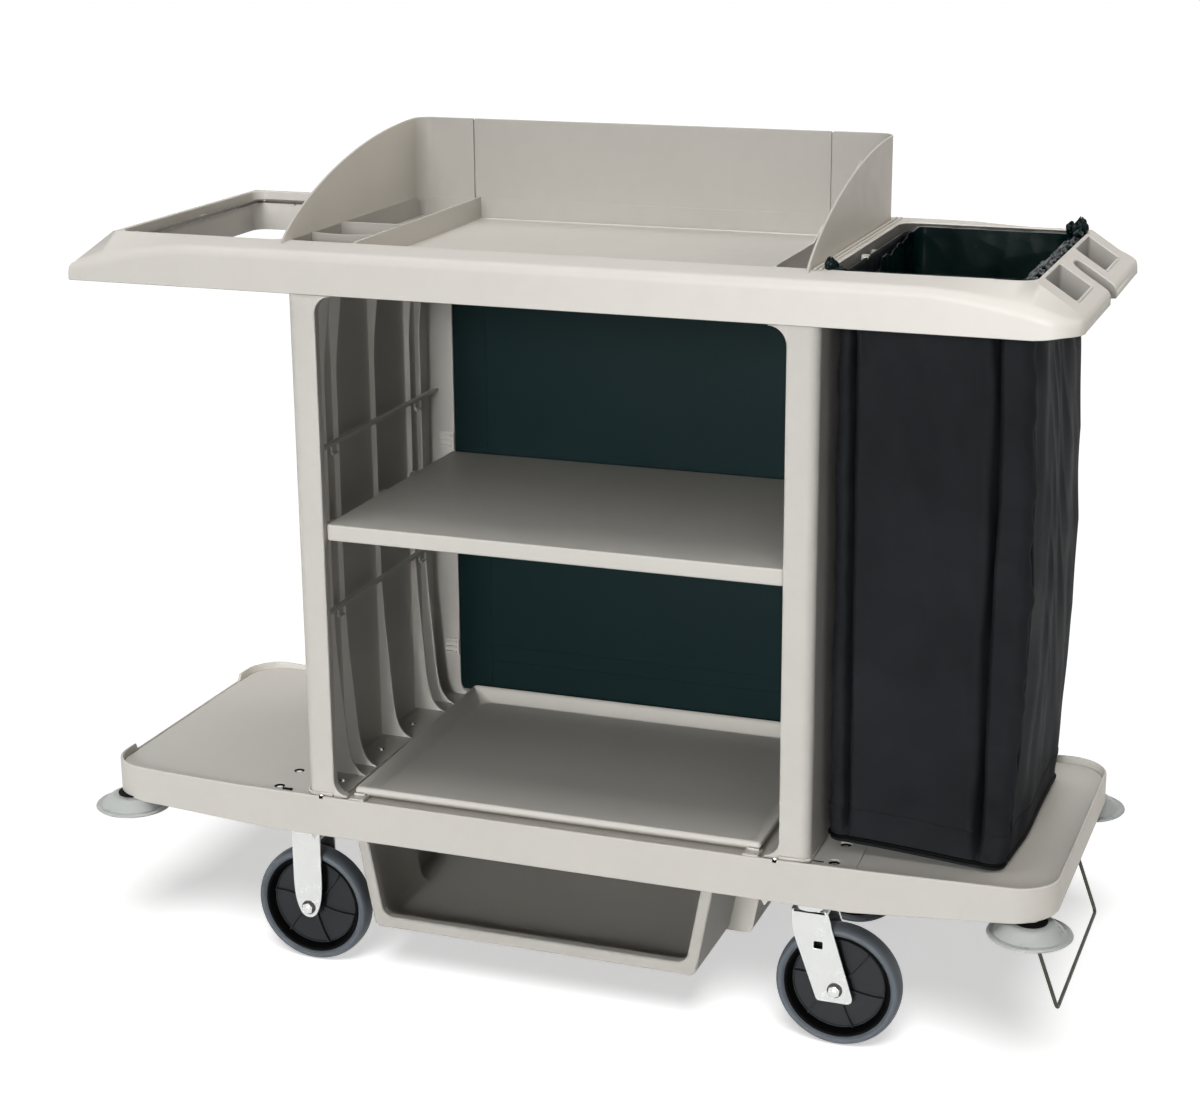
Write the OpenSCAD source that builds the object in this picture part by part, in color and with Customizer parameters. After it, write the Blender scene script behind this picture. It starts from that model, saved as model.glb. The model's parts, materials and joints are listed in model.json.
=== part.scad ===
// Housekeeping cart: moulded base and top deck on two ribbed side panels, with a tray hood,
// a hanging laundry bag, an under-deck bin, two rigid and two swivel casters and corner bumpers.
// Millimetres. The origin is on the floor under the middle of the cart. +X is the handle end,
// -Y the front and +Z up.

/* [Base platform] */
// Length of the base platform
base_l = 1486; // [1300:2:1600]
// Width of the base platform
base_w = 522; // [480:2:560]
// Corner radius of the base platform in plan
base_corner_r = 62; // [30:1:90]
// Wall and deck thickness of the base moulding
base_wall = 4.5; // [3:0.5:6]
// Height of the rim above the deck
base_rim_h = 11; // [6:1:20]
// Depth of the skirt below the deck in the middle of the base
base_skirt_h = 61; // [50:1:80]
// Rise of the skirt's lower edge from its kink to the ends
base_end_rise = 20; // [0:1:25]
// Distance of the skirt's kinks from the middle
base_kink_x = 455; // [400:1:520]
// Width of the gap in the rim at the left end
rim_gap_w = 380; // [200:5:420]

/* [Casters] */
// Wheel diameter over the tyre
wheel_d = 186; // [160:1:195]
// Tyre width
tyre_w = 36; // [28:1:42]
// Thickness of the tyre from tread to hub
tyre_t = 16; // [10:1:22]
// Axle bolt diameter
axle_d = 12; // [8:1:16]
// Thickness of the pressed fork sheet
fork_t = 4; // [3:0.5:6]
// Room between the tyre's top and the fork crown
crown_gap = 22; // [14:1:30]
// Distance of the rigid casters' axles from the middle along the cart
rigid_x = 414; // [395:1:430]
// Distance of the swivel axes from the middle along the cart
swivel_x = 391; // [375:1:410]
// Distance of the casters from the centre line
caster_y = 202; // [188:1:208]
// Distance that a swivel wheel trails behind its swivel axis
caster_trail = 40; // [25:1:48]
// Height of the lower swivel race
race_h = 14; // [8:1:20]
// Radius of the swivel race
race_r = 31; // [24:1:36]
// Height of the moulded blocks that the casters bolt to
caster_block_h = 53; // [45:1:70]
// Bolt spacing of the caster plates along the cart
plate_bolt_x = 74; // [60:1:90]
// Bolt spacing of the caster plates across the cart
plate_bolt_y = 66; // [50:1:72]
// Diameter of the caster bolts
plate_bolt_d = 8; // [6:0.5:10]
// Half of the width of a rigid fork's legs
rigid_leg_half = 24; // [20:1:28]
// Half of the width of a swivel fork's legs
swivel_leg_half = 27; // [22:1:30]
// Side of the square hole in a swivel fork's legs
leg_hole = 12; // [6:1:16]
// Number of ribs on each face of a hub
hub_ribs = 6; // [4:1:10]

/* [Bumpers] */
// Radius of the bumper discs
bumper_r = 58; // [45:1:65]
// Distance of the bumper axes in from the base's ends
bumper_end_in = 34; // [24:1:50]
// Distance of the bumper axes in from the base's sides
bumper_side_in = 23; // [18:1:40]
// Diameter of the bumper bolts
bumper_bolt_d = 10; // [6:0.5:14]

/* [Wire bail] */
// Wire diameter of the bail
bail_d = 5.5; // [4:0.5:8]
// Half of the bail's width
bail_half_w = 170; // [140:1:171]
// Distance of the bail's pivot in from the handle end of the base
bail_end_in = 56; // [40:1:75]
// How far the bail's bar hangs below its pivot
bail_drop = 156; // [100:1:180]
// How far the bail's bar leans out past its pivot
bail_reach = 55; // [0:1:70]

/* [Under-deck bin] */
// Left edge of the bin's floor
bin_x0 = -292; // [-310:1:-270]
// Right edge of the bin's floor
bin_x1 = 224; // [200:1:230]
// Height of the bin's floor above the ground
bin_floor_z = 88; // [70:1:120]
// How far each side leans out from floor to deck
bin_lean = 38; // [20:1:45]
// Depth of the bin from front to back
bin_depth = 488; // [420:2:500]
// How far the middle of the bin stands out past its ends
bin_step = 37; // [10:1:45]
// Half of the length of the wide middle of the bin
bin_mid_half = 78; // [50:1:80]
// Wall of the bin
bin_wall = 4; // [3:0.5:6]
// Width of the thick frame round the bin's mouth
bin_frame = 18; // [10:1:24]

/* [Cabinet] */
// Height of the side panels
panel_h = 781; // [600:1:900]
// Outside width over the side panels
cabinet_w = 790; // [740:2:796]
// Wall of the side panels
panel_wall = 3.5; // [2.5:0.5:5]
// Width of the front posts
post_w = 45; // [30:1:52]
// Front face of the posts from the centre line
post_front = 251; // [246:1:252]
// Depth of the posts' inner returns
post_return = 14; // [8:1:30]
// Rear face of the side panels from the centre line
panel_rear = 229; // [215:1:235]
// Fillet at the corners of the cabinet's front opening
opening_fillet = 22; // [10:1:30]
// How far the feet of the ribs reach in from the panel
rib_foot = 55; // [45:1:58]
// Depth of the ribs at mid height
rib_mid = 11; // [8:1:14]
// Depth of the ribs at the top
rib_top = 26; // [15:1:35]
// Thickness of the ribs and rails
rib_t = 4; // [3:0.5:6]
// Distance of the foremost rib from the middle of the panel
rib_reach_front = 154; // [140:1:170]
// Distance of the rearmost rib from the middle of the panel
rib_reach_rear = 187; // [170:1:195]
// Distance between the two ribs of a pair
rib_pair_gap = 40; // [30:1:50]
// Shift of the middle rib from the middle of the panel
rib_mid_shift = 17; // [0:1:30]
// Height of the shelf's top above the deck
shelf_h = 430; // [300:1:500]
// Thickness of the shelf
shelf_t = 24.5; // [18:0.5:35]
// Distance from one shelf level to the next
shelf_pitch = 128; // [100:1:150]
// Thickness of the back panel
back_t = 4; // [3:0.5:6]
// Distance of the back panel's upright grooves from its edges
groove_in = 72; // [40:1:120]
// Height of the back panel's lower groove above its bottom edge
groove_h = 58; // [40:1:100]
// Distance between the back panel's level grooves
groove_gap = 26; // [15:1:40]
// Distance of the outer flange screws from the ribs beside them
screw_reach = 60; // [30:1:70]
// Height of the bottom tray's front and side lips
tray_lip_h = 18; // [12:1:26]
// Height of the bottom tray's rear lip
tray_rear_lip_h = 25; // [18:1:35]
// Run of the bottom tray's sloped walls
tray_slope = 28; // [15:1:40]

/* [Top deck] */
// Length of the top deck
top_l = 1484; // [1400:2:1520]
// Width of the top deck
top_w = 545; // [530:1:570]
// Height of the top deck from its lower edge to the rim
top_h = 67; // [60:1:80]
// Wall of the top deck moulding
top_wall = 4; // [3:0.5:5]
// Corner radius of the top deck's left end in plan
left_corner_r = 12; // [6:1:30]
// Corner radius of the top deck's handle end in plan
handle_corner_r = 45; // [30:1:60]
// Height of the ends above the lower edge
top_end_h = 23; // [15:1:30]
// Run of the slope at the left end
left_slope = 58; // [40:1:70]
// Run of the slope at the handle end
handle_slope = 70; // [60:1:90]
// Width of the rim along the front and back
rim_w = 58; // [45:1:65]
// Fall of the front shoulder below the rim in the middle
shoulder_fall = 7; // [3:1:15]
// Length of the end zones where the shoulder falls away
shoulder_run = 202; // [150:1:260]
// Depth of the top tray below the rim
top_tray_depth = 36; // [25:1:40]
// Distance of the hood's middle from the cart's middle
hood_offset = -15; // [-20:1:0]
// Width of the hood outside
hood_w = 781; // [740:1:790]
// Height of the hood above the rim
hood_h = 126; // [80:1:180]
// Wall of the hood
hood_t = 3.5; // [2.5:0.5:5]
// Rear corner radius of the hood
hood_corner_r = 26; // [15:1:40]
// Length of the hood sides' returns along the back
hood_return = 98; // [60:1:140]
// Width of the tray's left bay, from the outside of the hood
left_bay_w = 104; // [80:1:140]
// Width of the tray's right bay, from the outside of the hood
right_bay_w = 54; // [40:1:90]
// Distance of the cup's front from the centre line
cup_front = 162; // [140:1:180]
// Radius of the cup's bowed wall
cup_r = 95; // [70:1:120]
// Distance of the cross divider in front of the centre line
cross_front = 50; // [20:1:80]
// Width of the handle's finger pockets
pocket_w = 116; // [90:1:125]
// Width of the notch in the middle of the handle
notch_w = 14; // [8:1:20]

/* [Bag] */
// Diameter of the bag rails' wire
rail_d = 6; // [4:0.5:8]
// Distance of the rail's wire from the opening's wall
rail_gap = 8; // [6:0.5:10]
// Cloth thickness of the laundry bag
bag_t = 2.5; // [1.5:0.5:4]
// How far the bag's foot draws in at the front and back
bag_draw = 24; // [10:1:40]
// How far the bag's foot spreads towards the handle end
bag_spread = 10; // [0:1:14]

/* [Hidden] */
$fn = 48;
EPS = 0.01;
CLEAR = 0.3;
RUN_CLEAR = 0.05;

// Heights, stacked up from the floor
axle_z = wheel_d / 2;
crown_z = wheel_d + crown_gap;
crown_top_z = crown_z + fork_t + 1;
race_top_z = crown_top_z + race_h;
upper_race_h = 6;
plate_z = race_top_z + CLEAR + upper_race_h;
plate_top_z = plate_z + fork_t;
deck_z = plate_top_z + caster_block_h + base_wall;
under_deck_z = deck_z - base_wall;
base_rim_z = deck_z + base_rim_h;
base_bottom_z = deck_z - base_skirt_h;
panel_top_z = deck_z + panel_h;
top_under_z = panel_top_z;
top_bottom_z = panel_top_z - 4;
rim_z = top_bottom_z + top_h;
top_tray_z = rim_z - top_tray_depth;
shelf_top_z = deck_z + shelf_h;
shelf_z = shelf_top_z - shelf_t;
rail_z = rim_z - 15;

// Places along and across the cart
base_x = base_l / 2;
base_y = base_w / 2;
cab_x = cabinet_w / 2;
wall_in_x = cab_x - panel_wall;
post_in_x = cab_x - post_w;
foot_x = wall_in_x - rib_foot;
tray_x = foot_x - 14;
tray_front = post_front - 10;
tray_rear = panel_rear - 6;
top_x = top_l / 2;
top_y = top_w / 2;
hole_y = top_y - rim_w;
hood_x0 = hood_offset - hood_w / 2;
hood_x1 = hood_offset + hood_w / 2;
hood_setback = 24;
hood_rear = top_y - hood_setback;
hood_front = -hole_y - hood_setback;
pan_x0 = hood_x0 + hood_t;
pan_x1 = hood_x1 - hood_t;
pan_rear = hood_rear - hood_t;
hole_clear = 0.5;
left_hole = [-top_x + left_slope, min(hood_x0 - 8, -cab_x - hole_clear), hole_y];
right_hole = [max(hood_x1 + 20, cab_x + hole_clear), top_x - handle_slope, hole_y];
hole_r = 22;
rib_middle = -0.5 * (post_front - panel_rear);
rib_places = [rib_middle - rib_reach_front, rib_middle - rib_reach_front + rib_pair_gap,
    rib_middle + rib_mid_shift, rib_middle + rib_reach_rear - rib_pair_gap, rib_middle + rib_reach_rear];
divider_left_x = hood_x0 + left_bay_w;
divider_right_x = hood_x1 - right_bay_w;
bumper_x = base_x - bumper_end_in;
bumper_y = base_y - bumper_side_in;
bail_pivot_x = base_x - bail_end_in;
divider_t = 3.5;
divider_rise = 2;
divider_slope = 0.3;
divider_kink = 25;
bumper_z = base_bottom_z - 7;

PLASTIC = [0.78, 0.76, 0.72];
STEEL = [0.80, 0.81, 0.82];
PANEL_DARK = [0.07, 0.12, 0.12];
CLOTH = [0.12, 0.12, 0.13];
LINER = [0.04, 0.06, 0.06];
TYRE = [0.35, 0.38, 0.40];
HUB = [0.09, 0.09, 0.10];
BUMPER = [0.66, 0.67, 0.66];

// Helpers

// Points of an arc about c from angle a0 to a1
function arc(c, r, a0, a1, n = 8) =
    [for (i = [0:n]) c + r * [cos(a0 + (a1 - a0) * i / n), sin(a0 + (a1 - a0) * i / n)]];

// Outline of a rectangle with round corners
function round_rect(x0, x1, y0, y1, r, n = 8) = concat(
    arc([x1 - r, y1 - r], r, 0, 90, n), arc([x0 + r, y1 - r], r, 90, 180, n),
    arc([x0 + r, y0 + r], r, 180, 270, n), arc([x1 - r, y0 + r], r, 270, 360, n));

// Outline of a hole [x0, x1, half width], grown by a margin
function hole_outline(h, grow, r) =
    round_rect(h[0] - grow, h[1] + grow, -h[2] - grow, h[2] + grow, r + grow);

// An outline in plan, extruded from z0 to z1
module slab(z0, z1, points) {
    translate([0, 0, z0]) linear_extrude(z1 - z0) polygon(points);
}

// A block between two corners
module block(low, high) {
    translate(low) cube(high - low);
}

// An outline of x and z, extruded from y0 to y1
module across(y0, y1) {
    translate([0, y1, 0]) rotate([90, 0, 0]) linear_extrude(y1 - y0) children();
}

// An outline of y and z, extruded from x0 to x1
module along(x0, x1) {
    translate([x0, 0, 0]) rotate([90, 0, 90]) linear_extrude(x1 - x0) children();
}

// A rod along Y
module rod_y(r, y0, y1) {
    translate([0, y1, 0]) rotate([90, 0, 0]) cylinder(h = y1 - y0, r = r);
}

// A solid through rings of equal counts, each ring counterclockwise seen from the last one
module loft(rings) {
    n = len(rings[0]);
    last = len(rings) - 1;
    sides = [for (i = [0:last - 1], j = [0:n - 1], t = [0, 1])
        let (a = i * n + j, b = i * n + (j + 1) % n)
        t == 0 ? [a, a + n, b + n] : [a, b + n, b]];
    caps = [[for (j = [0:n - 1]) j], [for (j = [n - 1:-1:0]) last * n + j]];
    polyhedron(points = [for (ring = rings) each ring], faces = concat(sides, caps));
}

module mirrored_x(flip) {
    mirror([flip ? 1 : 0, 0, 0]) children();
}

// Base platform

function base_outline(inset) =
    round_rect(-base_x + inset, base_x - inset, -base_y + inset, base_y - inset, base_corner_r - inset, 12);

module at_plate_bolts() {
    for (cx = [-rigid_x, swivel_x], cy = [-caster_y, caster_y])
        for (dx = [-plate_bolt_x / 2, plate_bolt_x / 2], dy = [-plate_bolt_y / 2, plate_bolt_y / 2])
            translate([cx + dx, cy + dy, 0]) children();
}

module at_bumpers() {
    for (x = [-bumper_x, bumper_x], y = [-bumper_y, bumper_y])
        translate([x, y, 0]) children();
}

pad_margin = [34, 22];
caster_pad = [plate_bolt_x, plate_bolt_y] + pad_margin;
bolt_head_r = plate_bolt_d * 0.8;
bolt_pocket_r = bolt_head_r + 2;
bolt_pocket_h = 6;
bumper_boss_r = bumper_bolt_d / 2 + 7;
bumper_seat_z = base_bottom_z + base_end_rise;

module base_deck() color(PLASTIC) difference() {
    union() {
        difference() {
            slab(base_bottom_z, base_rim_z, base_outline(0));
            slab(base_bottom_z - 1, under_deck_z, base_outline(base_wall));
            slab(deck_z, base_rim_z + 1, base_outline(base_wall));
            for (s = [-1, 1]) {
                end_x = s * (base_x + 1);
                across(-base_y - 1, base_y + 1)
                    polygon([[s * base_kink_x, base_bottom_z], [end_x, base_bottom_z + base_end_rise],
                        [end_x, base_bottom_z - 1], [s * base_kink_x, base_bottom_z - 1]]);
            }
            block([-base_x - 1, -rim_gap_w / 2, deck_z],
                [-base_x + base_wall + 1, rim_gap_w / 2, base_rim_z + 1]);
        }
        for (x = [-rigid_x, swivel_x], y = [-caster_y, caster_y])
            block([x - caster_pad.x / 2, y - caster_pad.y / 2, plate_top_z],
                [x + caster_pad.x / 2, y + caster_pad.y / 2, under_deck_z]);
        at_bumpers() translate([0, 0, bumper_seat_z])
            cylinder(h = under_deck_z - bumper_seat_z, r = bumper_boss_r);
    }
    at_plate_bolts() translate([0, 0, plate_top_z - 1])
        cylinder(h = deck_z - plate_top_z + 2, r = plate_bolt_d / 2 + CLEAR);
    at_plate_bolts() translate([0, 0, deck_z - bolt_pocket_h])
        cylinder(h = bolt_pocket_h + 1, r = bolt_pocket_r);
    at_bumpers() translate([0, 0, bumper_seat_z - 1])
        cylinder(h = deck_z - bumper_seat_z - 14, r = bumper_bolt_d / 2);
}

module caster_bolts() color(STEEL) at_plate_bolts() {
    translate([0, 0, deck_z - bolt_pocket_h]) cylinder(h = bolt_pocket_h - 1.5, r = bolt_head_r);
    translate([0, 0, plate_z - 9]) cylinder(h = deck_z - bolt_pocket_h - plate_z + 9, r = plate_bolt_d / 2);
    translate([0, 0, plate_z - 6.5]) cylinder(h = 6.5, r = bolt_head_r, $fn = 6);
}

// Tray and bin

tray_wall = 3;

module tray_hollow(x, front, rear, floor_z, lip_z, run) intersection() {
    across(-front, rear) polygon([[-x - run, lip_z], [-x, floor_z], [x, floor_z], [x + run, lip_z]]);
    along(-x - run, x + run)
        polygon([[-front, lip_z], [-front + 1.5 * run, floor_z], [rear - run, floor_z], [rear, lip_z]]);
}

module bottom_tray() color(PLASTIC) {
    lip_w = 8;
    lip_z = deck_z + tray_lip_h;
    floor_z = deck_z + tray_wall;
    difference() {
        block([-tray_x, -tray_front, deck_z], [tray_x, tray_rear, lip_z]);
        tray_hollow(tray_x - lip_w - tray_slope, tray_front - lip_w, tray_rear - lip_w, floor_z, lip_z + EPS,
            tray_slope);
    }
    block([-tray_x, tray_rear - tray_wall, lip_z], [tray_x, tray_rear, deck_z + tray_rear_lip_h]);
}

module tray_latches() color(PLASTIC) for (x = [-tray_x + 12, tray_x - 12]) {
    block([x - 9, -base_y + base_wall, deck_z], [x + 9, -tray_front, deck_z + 7]);
    block([x - 9, -tray_front - 4, deck_z + 7], [x + 9, -tray_front, deck_z + tray_lip_h - 4]);
}

function bin_side(inset, step, z0, z1) = let (rise = under_deck_z - bin_floor_z,
    lean = function(z) bin_lean * (z - bin_floor_z) / rise)
    [[bin_x0 - step - lean(z0) + inset, z0], [bin_x1 + step + lean(z0) - inset, z0],
        [bin_x1 + step + lean(z1) - inset, z1], [bin_x0 - step - lean(z1) + inset, z1]];

module under_bin() color(PLASTIC) {
    half = bin_depth / 2;
    floor_top = bin_floor_z + bin_wall;
    difference() {
        union() {
            across(-half, half) polygon(bin_side(0, 0, bin_floor_z, under_deck_z));
            across(-bin_mid_half, bin_mid_half) polygon(bin_side(0, bin_step, bin_floor_z, under_deck_z));
        }
        across(-half + bin_frame, half - bin_wall)
            polygon(bin_side(bin_wall, 0, floor_top, under_deck_z + 1));
        across(-bin_mid_half + bin_wall, bin_mid_half - bin_wall)
            polygon(bin_side(bin_wall, bin_step, floor_top, under_deck_z + 1));
        across(-half - 1, -half + bin_frame + 1)
            polygon(bin_side(bin_frame, 0, bin_floor_z + bin_frame, base_bottom_z + 8));
    }
}

// Cabinet

// Points of a rib's swept foot: how far back from its toe and how high above the deck
rib_sweep = [[0, 6], [14, 11], [25, 24], [32, 48]];
function rib_outline() = concat([[0, deck_z], [rib_foot, deck_z]],
    [for (p = rib_sweep) [rib_foot - p[0], deck_z + p[1]]],
    [[rib_mid, deck_z + 0.31 * panel_h], [rib_mid, deck_z + 0.83 * panel_h],
        [rib_top, panel_top_z], [0, panel_top_z]]);

// Outline of a post's face: straight outside, with fillets where it meets the deck and the top
function post_face(width, fillet) = let (inner = -cab_x + width)
    concat([[-cab_x, panel_top_z], [-cab_x, deck_z], [inner + fillet, deck_z]],
        arc([inner + fillet, deck_z + fillet + 5], fillet, 270, 180),
        arc([inner + fillet, panel_top_z - fillet - 5], fillet, 180, 90),
        [[inner + fillet, panel_top_z]]);

screw_r = 2.5;
screw_places = [rib_places[0] - 0.7 * rib_pair_gap, rib_places[2] - screw_reach, rib_places[2] + screw_reach];
flange_t = 4;

module side_panel() difference() {
    union() {
        block([-cab_x, -post_front, deck_z], [-wall_in_x, panel_rear, panel_top_z]);
        across(-post_front, -post_front + rib_t) polygon(post_face(post_w, opening_fillet));
        block([-post_in_x - panel_wall, -post_front, deck_z],
            [-post_in_x, -post_front + post_return, panel_top_z]);
        across(panel_rear - rib_t, panel_rear) polygon(post_face(post_w + 4, opening_fillet));
        block([-cab_x, -post_front, deck_z], [-foot_x, panel_rear, deck_z + flange_t]);
        for (y = rib_places)
            across(y - rib_t / 2, y + rib_t / 2) translate([-wall_in_x, 0]) polygon(rib_outline());
    }
    for (y = screw_places)
        translate([-wall_in_x + rib_foot / 2, y, deck_z - 1]) cylinder(h = flange_t + 2, r = screw_r + CLEAR);
}

module side_panel_left() color(PLASTIC) side_panel();
module side_panel_right() color(PLASTIC) mirrored_x(true) side_panel();

// Bars that carry the shelf at its three levels, with the tabs that clip them to the ribs
module shelf_rails() {
    bar_h = 6;
    bar_d = 8;
    edge_x = wall_in_x - rib_mid;
    for (level = [-1, 0, 1]) {
        bar_z = shelf_z + level * shelf_pitch;
        block([-edge_x, -post_front + rib_t, bar_z - bar_h], [-edge_x + bar_d, panel_rear - rib_t, bar_z]);
        for (i = [0, 3])
            block([-edge_x, rib_places[i] + 8, bar_z - bar_h - 16],
                [-edge_x + 3, rib_places[i] + 24, bar_z - bar_h]);
    }
}

module shelf_rails_left() color(PLASTIC) shelf_rails();
module shelf_rails_right() color(PLASTIC) mirrored_x(true) shelf_rails();

module panel_screws() color(STEEL) for (side = [-1, 1], y = screw_places)
    translate([side * (wall_in_x - rib_foot / 2), y, deck_z]) {
        cylinder(h = flange_t, r = screw_r);
        translate([0, 0, flange_t]) cylinder(h = 3, r1 = screw_r * 2.2, r2 = screw_r * 1.4);
    }

back_half = post_in_x + 10;
back_bottom = deck_z + tray_rear_lip_h - 12;
groove_d = 0.8;

module back_panel() color(PANEL_DARK) difference() {
    across(panel_rear, panel_rear + back_t)
        polygon(round_rect(-back_half, back_half, back_bottom, panel_top_z, 14));
    groove_x = back_half - groove_in;
    groove_y = panel_rear + groove_d;
    for (x = [-groove_x, groove_x])
        block([x - 1, panel_rear - 1, back_bottom + 20], [x + 1, groove_y, panel_top_z - 20]);
    for (z = [back_bottom + groove_h, back_bottom + groove_h + groove_gap])
        block([-groove_x + 2, panel_rear - 1, z - 1], [groove_x - 2, groove_y, z + 1]);
}

clip_w = 24;
clip_low_h = 88;

// Clips on the rear posts that grip the back panel's edge
module panel_clips() color(PLASTIC) for (side = [0, 1], z = [deck_z + clip_low_h, shelf_top_z + 16])
    mirrored_x(side == 1) {
        front = panel_rear - rib_t;
        clip_x = post_in_x + clip_w - 4;
        block([-clip_x, front - 4, z - 14], [-post_in_x + 4, front, z + 14]);
        for (dz = [-9, 0, 9])
            block([-clip_x, front - 7, z + dz - 2], [-post_in_x, front - 4, z + dz + 2]);
    }

shelf_x = post_in_x - 1;
shelf_rear_gap = 5;
shelf_lug = wall_in_x - rib_mid - 8 - shelf_x + 6;

module middle_shelf() color(PLASTIC) {
    shelf_wall = 4;
    front = -post_front + 8;
    rear = panel_rear - rib_t - shelf_rear_gap;
    difference() {
        block([-shelf_x, front, shelf_z], [shelf_x, rear, shelf_top_z]);
        difference() {
            block([-shelf_x + shelf_wall, front + shelf_wall, shelf_z - 1],
                [shelf_x - shelf_wall, rear - shelf_wall, shelf_top_z - shelf_wall]);
            for (x = [-shelf_x / 2, 0, shelf_x / 2])
                block([x - 1.5, front, shelf_z], [x + 1.5, rear, shelf_top_z]);
        }
    }
    for (side = [-1, 1], y = [rib_places[0] - 20, rib_places[2] - 10, rib_places[3] - 20])
        translate([side * (shelf_x + shelf_lug / 2), y + 10, shelf_z + 5])
            cube([shelf_lug, 20, 10], center = true);
}

// Top deck

function end_height(x) = min(top_h, top_end_h + (top_h - top_end_h) * (x + top_x) / left_slope,
    top_end_h + (top_h - top_end_h) * (top_x - x) / handle_slope);
function shoulder_height(x) = let (past = max(0, abs(x) - top_x + shoulder_run) / shoulder_run)
    min(end_height(x), top_h - shoulder_fall - (top_h - shoulder_fall - top_end_h) * pow(past, 1.35));
function half_width(x) = let (r = x < 0 ? left_corner_r : handle_corner_r, past = max(0, abs(x) - top_x + r))
    top_y - r + sqrt(max(0, r * r - past * past));

// Cross-section of the top deck at x, drawn in by a wall and lowered by it
function top_section(x, wall, bottom) = let (
    w = half_width(x) - wall,
    inner = hole_y - wall,
    top = top_bottom_z + end_height(x) - wall,
    edge = top_bottom_z + shoulder_height(x) - wall,
    s = min(12, w - inner - 0.5),
    slope = (top - edge) / (w - inner),
    shoulder = [for (i = [0:4]) let (t = i / 4)
        [w - s * t * t, edge - s * (1 - t) * (1 - t) + s * slope * t * t]],
    k = (top_x - wall) / top_x)
    [for (p = concat([[-w, bottom], [w, bottom]], shoulder, [[inner, top], [-inner, top]],
        [for (i = [4:-1:0]) [-shoulder[i][0], shoulder[i][1]]])) [x * k, p[0], p[1]]];

function sorted(v) = len(v) <= 1 ? v : let (p = v[0])
    concat(sorted([for (x = v) if (x < p) x]), [p], sorted([for (x = v) if (x > p) x]));
// Distances of one end's sections from the middle: round its corner, at its slope, along its shoulder
function end_stations(corner_r, slope) = sorted(concat(
    [for (a = [0:15:90]) top_x - corner_r * (1 - cos(a))], [top_x - slope],
    [for (i = [1:5]) top_x - corner_r - i * (shoulder_run - corner_r) / 5]));
left_stations = end_stations(left_corner_r, left_slope);
top_stations = concat([for (i = [len(left_stations) - 1:-1:0]) -left_stations[i]],
    end_stations(handle_corner_r, handle_slope));

module top_shell() difference() {
    loft([for (x = top_stations) top_section(x, 0, top_bottom_z)]);
    loft([for (x = top_stations) top_section(x, top_wall, top_bottom_z - 1)]);
}

pocket_x0 = top_x - handle_slope + 5;
pocket_x1 = top_x - 22;
pocket_y = 62;
seat_lap = 20;

module top_deck() color(PLASTIC) {
    pan = [pan_x0, pan_x1, -hole_y, pan_rear];
    wall_top = rim_z - 3;
    difference() {
        top_shell();
        for (h = [left_hole, right_hole])
            slab(top_bottom_z - 1, rim_z + 1, hole_outline(h, 0, hole_r));
        block([pan[0], pan[2], top_tray_z], [pan[1], pan[3], rim_z + 1]);
        for (s = [-1, 1])
            block([pocket_x0, s > 0 ? pocket_y : -pocket_y - pocket_w, top_bottom_z - 1],
                [pocket_x1, s > 0 ? pocket_y + pocket_w : -pocket_y, rim_z + 1]);
        block([top_x - handle_slope + 16, -notch_w / 2, top_bottom_z - 1],
            [top_x + 1, notch_w / 2, rim_z + 1]);
    }
    for (h = [left_hole, right_hole])
        difference() {
            slab(top_under_z, wall_top, hole_outline(h, top_wall, hole_r));
            slab(top_under_z - 1, wall_top + 1, hole_outline(h, 0, hole_r));
        }
    difference() {
        block([pan[0] - top_wall, pan[2] - top_wall, top_tray_z - top_wall],
            [pan[1] + top_wall, pan[3] + top_wall, rim_z]);
        block([pan[0], pan[2], top_tray_z], [pan[1], pan[3], rim_z + 1]);
    }
    // Seats on the side panels, under the tray
    seat_out = cab_x - 10;
    block([-seat_out, -post_front + 4, top_under_z],
        [max(-post_in_x, pan_x0 + seat_lap), panel_rear, top_tray_z - top_wall]);
    block([min(post_in_x, pan_x1 - seat_lap), -post_front + 4, top_under_z],
        [seat_out, panel_rear, top_tray_z - top_wall]);
}

// Top edge of the hood's sides: rising from the front corner and levelling off at the back
function side_edge(y, height) = let (t = (hood_rear - y) / (hood_rear - hood_front))
    rim_z + height * (1 - pow(t, 1.75));

module hood_side() {
    rear = hood_rear - hood_corner_r;
    steps = 18;
    intersection() {
        union() {
            block([0, hood_front, rim_z], [hood_t, rear, rim_z + hood_h]);
            translate([hood_corner_r, rear, rim_z]) rotate_extrude(angle = 90, start = 90)
                translate([hood_corner_r - hood_t, 0]) square([hood_t, hood_h]);
            block([hood_corner_r, hood_rear - hood_t, rim_z], [hood_return, hood_rear, rim_z + hood_h]);
        }
        along(-1, hood_return + 1) polygon(concat(
            [for (i = [0:steps]) let (y = hood_front + (hood_rear - hood_front) * i / steps)
                [y, side_edge(y, hood_h) + 0.2]],
            [[hood_rear, rim_z], [hood_front, rim_z]]));
    }
}

module hood_left() color(PLASTIC) translate([hood_x0, 0, 0]) hood_side();
module hood_right() color(PLASTIC) translate([hood_x1, 0, 0]) mirrored_x(true) hood_side();
module hood_rear() color(PLASTIC)
    block([hood_x0 + hood_return, hood_rear - hood_t, rim_z],
        [hood_x1 - hood_return, hood_rear, rim_z + hood_h]);

module divider_left() color(PLASTIC)
    block([divider_left_x, -hole_y, top_tray_z],
        [divider_left_x + divider_t, pan_rear, rim_z + divider_rise]);

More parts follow.
